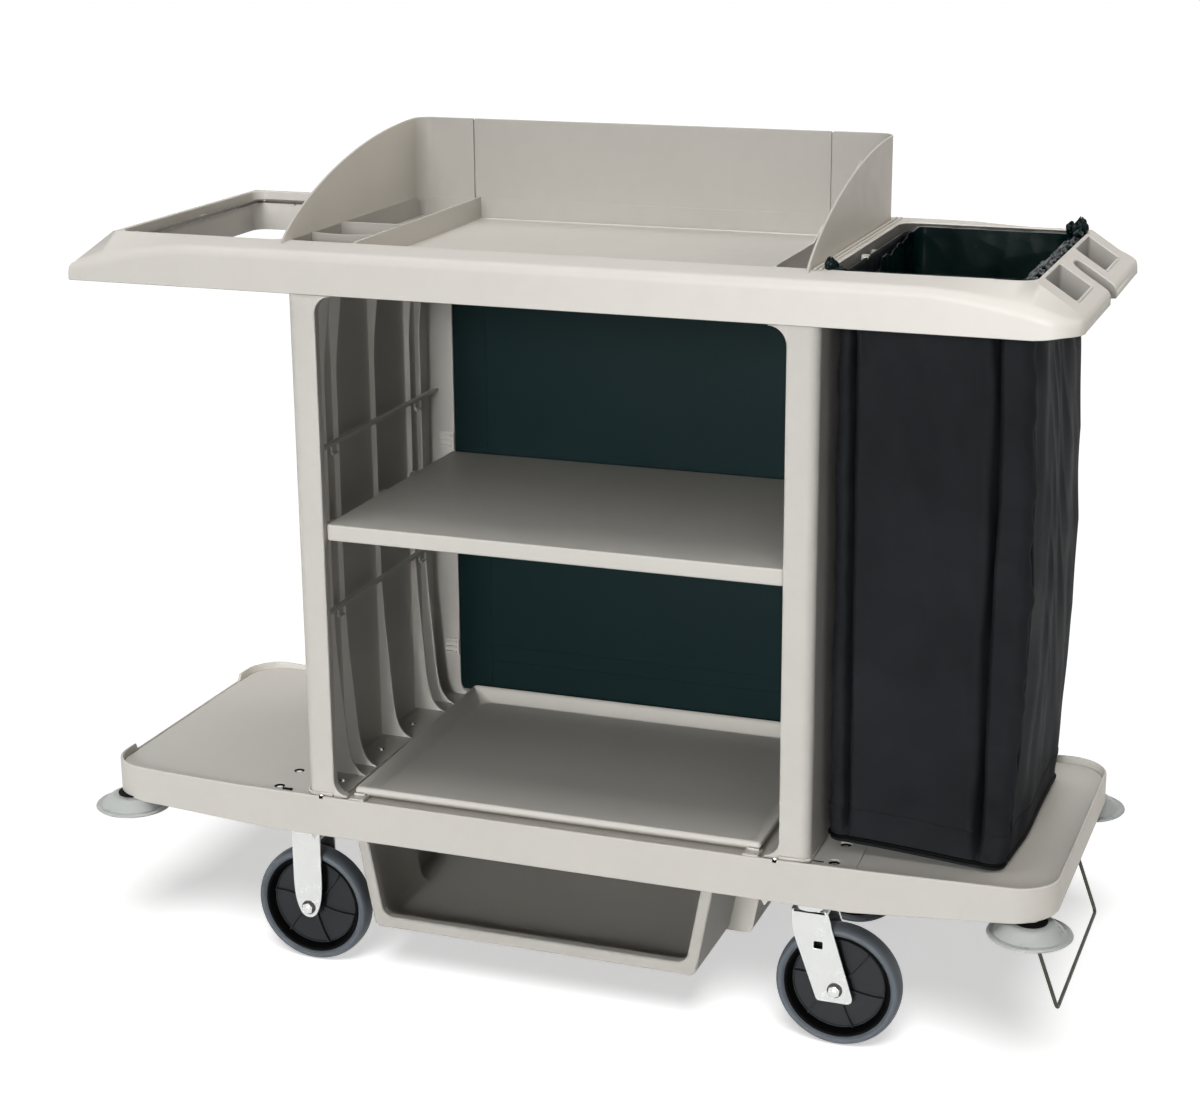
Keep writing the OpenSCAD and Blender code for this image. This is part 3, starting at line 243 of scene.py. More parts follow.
class Shape:
    """Grids and flat faces in millimetres. Each solid is a part, whose doubled points are merged."""

    def __init__(self):
        self.points, self.faces, self.parts, self.total, self.part = [], [], [], 0, 0

    def add(self, points, faces):
        """Points with faces that count from the first of them."""
        points = np.asarray(points, float).reshape(-1, 3)
        self.points.append(points)
        self.parts.append(np.full(len(points), self.part))
        self.faces += (np.asarray(faces) + self.total).tolist()
        self.total += len(points)

    def grid(self, points, loop=False):
        """Quads over points[row, column]; loop joins the last column to the first."""
        points = np.asarray(points, float)
        index = np.arange(points.shape[0] * points.shape[1]).reshape(points.shape[:2])
        if loop:
            index = np.hstack([index, index[:, :1]])
        quads = np.stack([index[:-1, :-1], index[:-1, 1:], index[1:, 1:], index[1:, :-1]], -1)
        self.add(points, quads.reshape(-1, 4).tolist())

    def face(self, ring):
        """One flat face."""
        self.add(ring, [list(range(len(ring)))])

    def holed(self, outline, holes, lift):
        """A face with holes, drawn in plan; lift(x, y) gives its points their places in space."""
        loops = [np.asarray(outline, float), *[np.asarray(hole, float) for hole in holes]]
        faces = tessellate_polygon([[Vector((x, y, 0)) for x, y in loop] for loop in loops])
        self.add(lift(np.vstack(loops)), faces)

    def loft(self, rings):
        """A closed solid through rings of equal counts, with flat ends."""
        self.part += 1
        self.grid(rings, loop=True)
        self.face(rings[0])
        self.face(rings[-1])

    def prism(self, outline, axis, low, high, holes=(), edge=0.8):
        """An outline of the two other axes drawn out along one axis, with holes through it and round edges.

        The ends' edges are quarter circles: at the angle a the outline lies in by e (1 - sin a) and its level
        is e (1 - cos a) from the end."""
        edge = min(edge, 0.45 * (high - low))
        turn = np.linspace(0, math.pi / 2, 4) if edge else np.zeros(1)
        into, along = edge * (1 - np.sin(turn)), edge * (1 - np.cos(turn))
        levels = [*zip(into, low + along), *zip(into[::-1], high - along[::-1])]
        loops = [np.stack([place(inset(loop, sign * d), axis, z) for d, z in levels])
                 for loop, sign in [(outline, 1), *[(hole, -1) for hole in holes]]]
        if not len(holes):
            self.loft(loops[0])
            return
        self.part += 1
        for loop in loops:
            self.grid(loop, loop=True)
        for end in (0, -1):
            ends = [np.delete(loop[end], axis, 1) for loop in loops]
            self.holed(ends[0], ends[1:], lambda plan: place(plan, axis, levels[end][1]))

    def block(self, low, high, edge=0.8):
        """A block between two corners, with round edges."""
        low, high = np.minimum(low, high), np.maximum(low, high)
        self.prism(round_rect(low[0], high[0], low[1], high[1], edge, 3), 2, low[2], high[2], edge=edge)

    def revolve(self, profile, centre, axis, steps):
        """A closed profile of (radius, height along the axis), turned round an axis through centre."""
        self.part += 1
        profile = np.asarray([*profile, profile[0]], float)
        angle = np.linspace(0, 2 * math.pi, steps, endpoint=False)
        radius, height = profile[:, :1], np.repeat(profile[:, 1:], steps, 1)
        ring = [radius * np.cos(angle), radius * np.sin(angle)]
        ring.insert(axis, height)
        self.grid(np.stack(ring, -1) + np.asarray(centre, float), loop=True)

    def tube(self, path, radius, sides=10, loop=False):
        """A round wire along a path: circles square to it, in frames carried from point to point."""
        self.part += 1
        path = np.asarray(path, float)
        ahead = np.roll(path, -1, 0) - np.roll(path, 1, 0) if loop else np.gradient(path, axis=0)
        ahead /= np.linalg.norm(ahead, axis=1)[:, None]
        side = np.cross(ahead, [0.31, 0.17, 0.93])
        side /= np.linalg.norm(side, axis=1)[:, None]
        over = np.cross(side, ahead)
        angle = np.linspace(0, 2 * math.pi, sides, endpoint=False)[None, :, None]
        rings = path[:, None] + radius * (np.cos(angle) * side[:, None] + np.sin(angle) * over[:, None])
        if loop:
            self.grid(np.vstack([rings, rings[:1]]), loop=True)
        else:
            self.grid(rings, loop=True)
            self.face(rings[0])
            self.face(rings[-1])

    def mirrored(self, sign):
        """The shape with x turned to the other side where sign is -1."""
        self.points = [points * [sign, 1, 1] for points in self.points]
        return self

    def make(self, name, slot, body="cart", replaces=(), wall=0.0, crease=38.0, look=None):
        """One object at the origin: parts merged, faces turned outwards and open surfaces given a wall.

        Its material is the slot's, unless another look is named."""
        mesh = bpy.data.meshes.new(name)
        mesh.from_pydata(np.vstack(self.points) * MM, [], self.faces)
        made = bmesh.new()
        made.from_mesh(mesh)
        made.verts.ensure_lookup_table()
        parts = np.concatenate(self.parts)
        groups = [[made.verts[i] for i in np.flatnonzero(parts == part)] for part in np.unique(parts)]
        for group in groups:
            bmesh.ops.remove_doubles(made, verts=group, dist=0.03 * MM)
        bmesh.ops.dissolve_degenerate(made, edges=made.edges, dist=0.01 * MM)
        bmesh.ops.recalc_face_normals(made, faces=made.faces)
        made.normal_update()
        highest = max(made.faces, key=lambda face: face.calc_center_median().z)
        if wall and highest.normal.z < 0:
            bmesh.ops.reverse_faces(made, faces=made.faces)
        made.to_mesh(mesh)
        made.free()
        mesh.shade_smooth()
        mesh.set_sharp_from_angle(angle=math.radians(crease))
        piece = bpy.data.objects.new(name, mesh)
        bpy.context.scene.collection.objects.link(piece)
        mesh.materials.append(finish(look or slot))
        if crease < 60:
            piece.modifiers.new("flat_faces", "WEIGHTED_NORMAL").keep_sharp = True
        if wall:
            solid = piece.modifiers.new("wall", "SOLIDIFY")
            solid.thickness = wall * MM
            solid.offset = -1
        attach(piece, body)
        if replaces:
            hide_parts(*([replaces] if isinstance(replaces, str) else replaces))
        return piece


def round_edges(piece, width, segments):
    """Rounds a piece's edges that turn by more than 35 degrees."""
    bevel = piece.modifiers.new("edges", "BEVEL")
    bevel.width = width * MM
    bevel.segments = segments
    bevel.limit_method = "ANGLE"
    bevel.angle_limit = math.radians(35)
    bevel.harden_normals = True


# Finishes


COLOUR, NUMBER = "NodeSocketColor", "NodeSocketFloat"


def surface_group(name, values):
    """An empty surface group with a colour and named values, and the sockets of its input node."""
    group = bpy.data.node_groups.new(name, "ShaderNodeTree")
    numbers = [(label, NUMBER, value) for label, value in values.items()]
    for label, kind, default in [("Colour", COLOUR, (1, 1, 1, 1)), *numbers]:
        socket = group.interface.new_socket(label, in_out="INPUT", socket_type=kind)
        socket.default_value = default
    for label, kind in (("Colour", COLOUR), ("Roughness", NUMBER), ("Height", NUMBER)):
        group.interface.new_socket(label, in_out="OUTPUT", socket_type=kind)
    return group, group.nodes.new("NodeGroupInput").outputs


def surface_out(group, colour, roughness, height):
    """The group with its three outputs joined."""
    out = group.nodes.new("NodeGroupOutput").inputs
    for label, value in (("Colour", colour), ("Roughness", roughness), ("Height", height)):
        group.links.new(value, out[label])
    return group


def noise(group, coordinate, scale, detail):
    """A noise texture on a coordinate."""
    node = group.nodes.new("ShaderNodeTexNoise")
    node.inputs["Detail"].default_value = detail
    node.inputs["Roughness"].default_value = 0.55
    group.links.new(coordinate, node.inputs["Vector"])
    if isinstance(scale, (int, float)):
        node.inputs["Scale"].default_value = scale
    else:
        group.links.new(scale, node.inputs["Scale"])
    return node.outputs["Fac"]


def span(group, value, low, high, out_low, out_high):
    """A value's range moved to another one, held at its ends."""
    node = group.nodes.new("ShaderNodeMapRange")
    group.links.new(value, node.inputs["Value"])
    for label, number in (("From Min", low), ("From Max", high), ("To Min", out_low), ("To Max", out_high)):
        if isinstance(number, (int, float)):
            node.inputs[label].default_value = number
        else:
            group.links.new(number, node.inputs[label])
    return node.outputs["Result"]


def scaled(group, colour, factor):
    """A colour times a value that changes over the surface."""
    node = group.nodes.new("ShaderNodeVectorMath")
    node.operation = "SCALE"
    group.links.new(colour, node.inputs[0])
    group.links.new(factor, node.inputs["Scale"])
    return node.outputs["Vector"]


def joined(group, first, second, operation="MULTIPLY"):
    """Two values joined by an operation, multiplied unless another is named."""
    node = group.nodes.new("ShaderNodeMath")
    node.operation = operation
    for socket, value in zip(node.inputs, (first, second)):
        if isinstance(value, (int, float)):
            socket.default_value = value
        else:
            group.links.new(value, socket)
    return node.outputs[0]


def moulded_surface():
    """Moulded surface: cloudy flow marks in the colour, fine grain in the height and in the gloss."""
    group, given = surface_group("moulded_surface", {"Clouds": 0.05, "Grain": 900.0, "Gloss low": 0.4,
                                                     "Gloss high": 0.55})
    where = group.nodes.new("ShaderNodeTexCoord").outputs["Object"]
    clouds = noise(group, where, 3.2, 4.0)
    specks = noise(group, where, 46.0, 2.0)
    lightest = joined(group, given["Clouds"], 1.0, "ADD")
    darkest = joined(group, 1.0, given["Clouds"], "SUBTRACT")
    shade = span(group, clouds, 0.3, 0.7, darkest, lightest)
    shade = joined(group, shade, span(group, specks, 0.25, 0.75, 0.985, 1.015))
    gloss = span(group, specks, 0.3, 0.7, given["Gloss low"], given["Gloss high"])
    grain = noise(group, where, given["Grain"], 2.0)
    return surface_out(group, scaled(group, given["Colour"], shade), gloss, grain)


def plain_weave():
    """Plain weave on the cloth's own map: crossed threads in the height, worn patches in the colour."""
    group, given = surface_group("plain_weave", {"Threads": 420.0})
    where = group.nodes.new("ShaderNodeTexCoord")
    threads = []
    for direction in ("X", "Y"):
        wave = group.nodes.new("ShaderNodeTexWave")
        wave.bands_direction = direction
        wave.inputs["Distortion"].default_value = 0.6
        wave.inputs["Detail"].default_value = 1.0
        group.links.new(where.outputs["UV"], wave.inputs["Vector"])
        group.links.new(given["Threads"], wave.inputs["Scale"])
        threads.append(wave.outputs["Fac"])
    weave = joined(group, *threads)
    wear = noise(group, where.outputs["Object"], 7.0, 5.0)
    shade = joined(group, span(group, wear, 0.3, 0.75, 0.82, 1.28), span(group, weave, 0, 1, 0.9, 1.12))
    gloss = span(group, wear, 0.3, 0.7, 0.46, 0.62)
    return surface_out(group, scaled(group, given["Colour"], shade), gloss, weave)


def creased_film():
    """Creased film: round cells and clouds in the height, clouds in the colour and the gloss."""
    group, given = surface_group("creased_film", {"Creases": 26.0})
    where = group.nodes.new("ShaderNodeTexCoord").outputs["Object"]
    cells = group.nodes.new("ShaderNodeTexVoronoi")
    cells.feature = "F1"
    group.links.new(where, cells.inputs["Vector"])
    group.links.new(given["Creases"], cells.inputs["Scale"])
    clouds = noise(group, where, 9.0, 4.0)
    height = joined(group, cells.outputs["Distance"], clouds, "ADD")
    shade = span(group, clouds, 0.3, 0.7, 0.7, 1.4)
    gloss = span(group, clouds, 0.3, 0.7, 0.16, 0.34)
    return surface_out(group, scaled(group, given["Colour"], shade), gloss, height)


def plated_steel():
    """Plated steel: faint drawn streaks along z and spangled patches."""
    group, given = surface_group("plated_steel", {"Gloss low": 0.2, "Gloss high": 0.36})
    where = group.nodes.new("ShaderNodeTexCoord").outputs["Object"]
    drawn = group.nodes.new("ShaderNodeMapping")
    drawn.inputs["Scale"].default_value = (1.0, 1.0, 0.06)
    group.links.new(where, drawn.inputs["Vector"])
    streaks = noise(group, drawn.outputs["Vector"], 700.0, 2.0)
    spangle = noise(group, where, 60.0, 3.0)
    streaked = span(group, streaks, 0.3, 0.7, 0.97, 1.02)
    shade = joined(group, streaked, span(group, spangle, 0.3, 0.7, 0.98, 1.02))
    gloss = span(group, spangle, 0.3, 0.7, given["Gloss low"], given["Gloss high"])
    return surface_out(group, scaled(group, given["Colour"], shade), gloss, streaks)


def moulded(clouds, grain, low, high):
    """Values of a moulded surface."""
    return {"Clouds": clouds, "Grain": grain, **glossy(low, high)}


def glossy(low, high):
    """Values of a surface's least and greatest roughness."""
    return {"Gloss low": low, "Gloss high": high}


def shine(level):
    """Shader value of a surface's mirrored light."""
    return {"Specular IOR Level": level}


# Finish of each slot or look: colour, surface, its values, shader values and the bump's height in millimetres
FINISHES = {
    "cart_plastic": ("plastic", moulded_surface, moulded(0.03, 1100.0, 0.42, 0.54), shine(0.4), 0.05),
    # Painted shade: the bin's look is the cart plastic darkened by a fifth.
    "bin_plastic": ("bin", moulded_surface, moulded(0.03, 1100.0, 0.42, 0.54), shine(0.4), 0.05),
    "back_panel": ("panel", moulded_surface, moulded(0.10, 700.0, 0.40, 0.50), shine(0.10), 0.04),
    "bag_cloth": ("cloth", plain_weave, {"Threads": 400.0}, shine(0.025), 0.16),
    "liner_film": ("film", creased_film, {"Creases": 30.0}, shine(0.09), 0.9),
    "tyre": ("tyre", moulded_surface, moulded(0.07, 500.0, 0.46, 0.6), shine(0.3), 0.10),
    "hub_plastic": ("hub", moulded_surface, moulded(0.12, 800.0, 0.34, 0.48), shine(0.06), 0.05),
    # Painted shade: a near-black look for pieces that stand for shade in recesses and gaps.
    "black_recess": ("rim", moulded_surface, moulded(0.05, 800.0, 0.5, 0.6), shine(0.04), 0.02),
    "bumper_plastic": ("bumper", moulded_surface, moulded(0.06, 400.0, 0.26, 0.38), {"IOR": 1.46}, 0.05),
    "zinc_steel": ("zinc", plated_steel, glossy(0.24, 0.28), {"Metallic": 1.0}, 0.006),
    "rail_wire": ("rail", plated_steel, glossy(0.25, 0.4), {"Metallic": 1.0}, 0.02),
    "bail_wire": ("bail", plated_steel, glossy(0.35, 0.5), {"Metallic": 0.8}, 0.02),
}


def finish(slot):
    """The material of a slot or look: one shader, fed by its surface group, which all its users share."""
    name = f"{slot}_finish"
    if name in bpy.data.materials:
        return bpy.data.materials[name]
    colour, surface, values, shader_values, bump_height = FINISHES[slot]
    material = bpy.data.materials.new(name)
    material.use_nodes = True
    nodes, links = material.node_tree.nodes, material.node_tree.links
    shader = nodes["Principled BSDF"]
    for label, value in shader_values.items():
        shader.inputs[label].default_value = value
    group = nodes.new("ShaderNodeGroup")
    group.node_tree = bpy.data.node_groups.get(surface.__name__) or surface()
    group.inputs["Colour"].default_value = (*getattr(bpy.context.scene.cart_finish, colour), 1)
    for label, value in values.items():
        group.inputs[label].default_value = value
    bump = nodes.new("ShaderNodeBump")
    bump.inputs["Distance"].default_value = bump_height * MM
    links.new(group.outputs["Colour"], shader.inputs["Base Color"])
    links.new(group.outputs["Roughness"], shader.inputs["Roughness"])
    links.new(group.outputs["Height"], bump.inputs["Height"])
    links.new(bump.outputs["Normal"], shader.inputs["Normal"])
    return material


# Base platform

KINK_X, LEFT_RISE, RIGHT_RISE = 455.0, 17.0, 23.5
GAP_HALF = 170.0
RIM_SINK = 7.3
POCKET_R, POCKET_DEPTH = 8.4, 6.0
POCKETS = [(x, y) for x in (-451.0, 428.0) for y in (-235.0, -169.0, 169.0, 235.0)]
SCREW_X, SCREW_Y = (-368.0, 347.0), -256.6
TAB_X = (-384.0, 333.0)


def base_path():
    """The base's outline in plan, with stations at the skirt's kinks and round the gap at the left end."""
    extra_x = np.concatenate([np.linspace(-BASE_X + BASE_R, -KINK_X, 9), np.linspace(300, KINK_X, 6)[:-1],
                              np.linspace(KINK_X, BASE_X - BASE_R, 9)])
    gap = np.array([-GAP_HALF - 5, -GAP_HALF, GAP_HALF, GAP_HALF + 5])
    front, right, rear, left = round_rect(-BASE_X, BASE_X, -BASE_Y, BASE_Y, BASE_R, 14).reshape(4, -1, 2)
    front_side = along_x(extra_x, -BASE_Y)
    left_side = np.stack([np.full(4, -BASE_X), gap[::-1]], 1)
    return np.vstack([front, front_side, right, rear, front_side[::-1] * [1, -1], left, left_side])


def rim_height(x):
    """Height of the base's rim: sunk along the front and back, and rising towards the corners."""
    left = np.clip((-x - 480) / 230, 0, 1) ** 1.7
    right = np.clip((x - 300) / 370, 0, 1) ** 1.4
    return BASE_RIM_Z - RIM_SINK * (1 - np.maximum(left, right))


def path_normals(path):
    """Outward normals of a counterclockwise closed path."""
    ahead = np.roll(path, -1, 0) - path
    behind = path - np.roll(path, 1, 0)
    ahead /= np.maximum(np.linalg.norm(ahead, axis=1), 1e-9)[:, None]
    behind /= np.maximum(np.linalg.norm(behind, axis=1), 1e-9)[:, None]
    along = ahead + behind
    normal = np.stack([along[:, 1], -along[:, 0]], 1)
    return normal / np.linalg.norm(normal, axis=1)[:, None]


class CART_OT_base_deck(bpy.types.Operator):
    """Base platform: a skirt and rim carried round its outline, the deck plate, caster blocks and bosses"""

    bl_idname = "cart.base_deck"
    bl_label = "Base deck"

    def execute(self, context):
        shape = Shape()
        deck_line = self.skirt(shape)
        pockets = [circle(x, y, POCKET_R) for x, y in POCKETS]
        shape.holed(deck_line, pockets, lambda plan: place(plan, 2, DECK_Z))
        for pocket in pockets:
            floor = place(pocket, 2, DECK_Z - POCKET_DEPTH)
            shape.grid(np.stack([place(pocket, 2, DECK_Z), floor]), loop=True)
            shape.face(floor)
        for x, y, _ in (JOINTS[name] for name in CASTERS):
            block = round_rect(x - PLATE_X, x + PLATE_X, y - PLATE_Y, y + PLATE_Y, 6)
            shape.prism(block, 2, PLATE_Z + 4, UNDER_DECK_Z - 0.2)
        boss_z = SKIRT_Z + 20
        for name in ("front_left", "rear_left", "front_right", "rear_right"):
            x, y, _ = JOINTS[f"bumper_{name}_spin"]
            boss = [(5.2, boss_z), (12, boss_z), (13, UNDER_DECK_Z), (5.2, UNDER_DECK_Z)]
            shape.revolve(boss, (x, y, 0), 2, 32)
        for x in np.linspace(-640, 640, 9):
            shape.block((x - 2, -250, UNDER_DECK_Z - 22), (x + 2, 250, UNDER_DECK_Z - 0.2))
        shape.make("base_deck_moulding", "cart_plastic", replaces="base_deck")
        self.trim()
        return {"FINISHED"}

    def skirt(self, shape):
        """Rings from the deck's underside down the skirt and over the rim; returns the deck's line."""
        path = base_path()
        x, y = path.T
        end_rise = np.where(x < 0, LEFT_RISE, RIGHT_RISE)
        low = SKIRT_Z + end_rise * np.clip((np.abs(x) - KINK_X) / (BASE_X - KINK_X), 0, 1)
        groove = DECK_Z - 1.4 - 5 * smooth(x, 640, 720)
        in_gap = (x < -BASE_X + 1) & (np.abs(y) <= GAP_HALF)
        rim = np.where(in_gap, DECK_Z + 0.6, rim_height(x))
        # How far out of the outline and how high each ring lies
        rows = [(-4.5, UNDER_DECK_Z), (-4.5, low + 1), (-3.5, low), (-1.0, low), (0.0, low + 1.2),
                (0.0, rim - 3.0), (-0.5, rim - 1.0), (-2.0, rim), (-3.2, rim), (-4.4, rim - 0.9),
                (-4.8, np.minimum(rim - 2.2, DECK_Z + 5)), (-5.2, groove), (-7.0, groove),
                (-7.4, DECK_Z - 0.3), (-8.2, DECK_Z)]
        normal = path_normals(path)
        rings = [place(path + normal * out, 2, z) for out, z in rows]
        shape.grid(np.stack(rings), loop=True)
        shape.face(rings[0])
        return rings[-1][:, :2]

    def trim(self):
        """The bracket pad; black cups in the bolt pockets, black blocks for two slots and black seats under the
        foot screws, their black all painted shade; the foot screws and tabs under the skirt.
        """
        pad = Shape()
        outline = rounded([[397, -252], [463, -252], [458, -150], [397, -150]], [1, 4, 14, 1])
        holes = [circle(x, y, 9.0) for x, y in POCKETS if x > 0 and y < 0]
        pad.prism(outline, 2, DECK_Z, DECK_Z + 2, holes=holes)
        pad.make("deck_pad", "cart_plastic")
        shade_cups, heads, tabs = Shape(), Shape(), Shape()
        # Painted shade: the cups, slot blocks and screw seats are black to draw the shade in the pockets, in the
        # slots and round the screws.
        cup = [(5, -1.4), (8.2, -1.4), (8.2, -0.2), (7.4, -0.2), (7, -0.9), (5, -0.9)]
        for x, y in POCKETS:
            shade_cups.revolve(cup, (x, y, DECK_Z), 2, 32)
        for x, y in ((-433.0, -244.0), (406.0, -240.0)):
            shade_cups.block((x - 8, y - 2, DECK_Z), (x + 8, y + 2, DECK_Z + 2.2), edge=0.4)
        for x in SCREW_X:
            shade_cups.revolve([(0.01, 0), (5.6, 0), (5.6, 4), (0.01, 4)], (x, SCREW_Y, DECK_Z), 2, 6)
            heads.revolve([(0.01, 3.9), (4, 3.9), (3.2, 6), (0.01, 6)], (x, SCREW_Y + 0.4, DECK_Z), 2, 20)
        for x in TAB_X:
            for y in (-BASE_Y + 6, BASE_Y - 9):
                tabs.prism([[x - 12, SKIRT_Z + 8], [x - 2, SKIRT_Z - 11], [x + 12, SKIRT_Z + 8]], 1, y, y + 3)
        shade_cups.make("bolt_recesses", "hub_plastic", look="black_recess")
        heads.make("foot_screws", "zinc_steel")
        tabs.make("skirt_tabs", "cart_plastic")


# Tray, bin and shelf


class CART_OT_bottom_tray(bpy.types.Operator):
    """Bottom tray: rings from its foot over the lip and down the sloped walls to the floor"""

    bl_idname = "cart.bottom_tray"
    bl_label = "Bottom tray"

    def execute(self, context):
        lip_z, floor_z = DECK_Z + 18, DECK_Z + 3
        # How far in from the tray's edge and how high each ring lies, and its corner radius
        rows = [(12, DECK_Z, 5), (3, lip_z - 10.5, 5), (0.8, lip_z - 9, 5), (0, lip_z - 6.5, 5),
                (0.5, lip_z - 3.4, 5), (1.9, lip_z - 1.2, 5), (4.2, lip_z, 5), (7, lip_z - 0.2, 6),
                (9, lip_z - 1.4, 7), (11.5, lip_z - 4, 9), (30, floor_z + 2.4, 16), (34, floor_z + 0.6, 18),
                (39, floor_z, 20)]
        rings = []
        for into, z, radius in rows:
            rear = TRAY_REAR - min(into, 8 + 0.35 * into)
            half = TRAY_X - np.interp(into, [0, 12, 30, 39], [2, 17, 25, 31])
            ring = round_rect(-half, half, TRAY_FRONT + into, rear, radius)
            at_rear = smooth(ring[:, 1], TRAY_REAR - 14, TRAY_REAR - 5)
            rings.append(place(ring, 2, z + (TRAY_TOP - lip_z) * at_rear * (z > floor_z + 5)))
        shape = Shape()
        shape.loft(np.stack(rings))
        shape.make("bottom_tray_moulding", "cart_plastic", replaces="bottom_tray")
        latches = Shape()
        for x in (-TRAY_X + 12, TRAY_X - 12):
            latches.block((x - 12, -BASE_Y + 3, DECK_Z + 0.5), (x + 12, TRAY_FRONT + 6, DECK_Z + 6.2))
            latches.block((x - 9, TRAY_FRONT - 3.5, DECK_Z + 6), (x + 9, TRAY_FRONT - 0.2, DECK_Z + 10))
        latches.make("tray_latch_tabs", "cart_plastic", replaces="tray_latches")
        return {"FINISHED"}


class CART_OT_under_bin(bpy.types.Operator):
    """Under-deck bin: a leaning section lofted from front to back, out over its wide middle, and hollowed"""

    bl_idname = "cart.under_bin"
    bl_label = "Under-deck bin"

    def execute(self, context):
        (x_low, front, floor), (x_high, rear, top) = corners("under_bin")
        lean, step = 38.0, 37.0
        x0, x1 = x_low + lean + step, x_high - lean - step

        def section(y, out, into, high_z, radius):
            """The bin's section at y: a leaning trapezium, moved out by a step and in by a wall."""
            low_z = floor + into
            low, high = (lean * (z - floor) / (top - floor) for z in (low_z, high_z))
            ring = rounded([[x0 - out - low + into, low_z], [x1 + out + low - into, low_z],
                            [x1 + out + high - into, high_z], [x0 - out - high + into, high_z]], radius)
            return place(ring, 1, y)

        mid, mouth, roof = 78.0, 18.0, top - 5
        outer = [(rear, 0, 0), (mid, 0, 0), (mid, step, 0), (-mid, step, 0), (-mid, 0, 0), (front + 2, 0, 0),
                 (front, 0, 2)]
        rings = [section(y, out, into, top - 0.5, (9, 9, 2, 2)) for y, out, into in outer]
        inner = [(front, 0, mouth - 2, SKIRT_Z + 10), (front + 2, 0, mouth, SKIRT_Z + 8),
                 (front + mouth - 3, 0, mouth, SKIRT_Z + 8), (front + mouth, 0, WALL + 1, top - 6),
                 (-mid + WALL, 0, WALL, roof), (-mid + WALL, step, WALL, roof),
                 (mid - WALL, step, WALL, roof), (mid - WALL, 0, WALL, roof), (rear - WALL, 0, WALL, roof)]
        rings += [section(y, out, into, high, 14) for y, out, into, high in inner]
        shape = Shape()
        shape.loft(np.stack(rings))
        # Painted shade: the bin takes the cart plastic darkened by a fifth.
        shape.make("under_bin_moulding", "cart_plastic", replaces="under_bin", look="bin_plastic")
        return {"FINISHED"}


class CART_OT_middle_shelf(bpy.types.Operator):
    """Middle shelf: a slab with round edges and lugs on the rails"""

    bl_idname = "cart.middle_shelf"
    bl_label = "Middle shelf"

    def execute(self, context):
        (_, front, low), (lug_x, rear, top) = corners("middle_shelf")
        half = CAB_X - 46
        shape = Shape()
        shape.prism(round_rect(-half, half, front, rear, 5), 2, low, top, edge=2.6)
        for side in (-1, 1):
            for y in (-175.0, 6.0, 126.0):
                x0, x1 = sorted((side * (half - 1), side * lug_x))
                shape.block((x0, y - 10, low), (x1, y + 10, low + 10))
        shape.make("middle_shelf_board", "cart_plastic", replaces="middle_shelf")
        return {"FINISHED"}


# Cabinet

RIB_PLACES = (-165.0, -125.0, 6.0, 136.0, 176.0)


def rib_outline(wall_x):
    """A rib's section in x and z: a swept foot, a slim middle and a wider head, with eased bends."""
    height = PANEL_TOP - DECK_Z
    outline = rounded([[0, DECK_Z], [55, DECK_Z], [54, DECK_Z + 5], [38, DECK_Z + 13], [27, DECK_Z + 40],
                       [11, DECK_Z + 0.31 * height], [11, DECK_Z + 0.83 * height], [26, PANEL_TOP - 12],
                       [26, PANEL_TOP], [0, PANEL_TOP]], [0.1, 1, 2, 18, 26, 60, 30, 12, 1, 0.1], 7)
    return outline + [wall_x, 0]


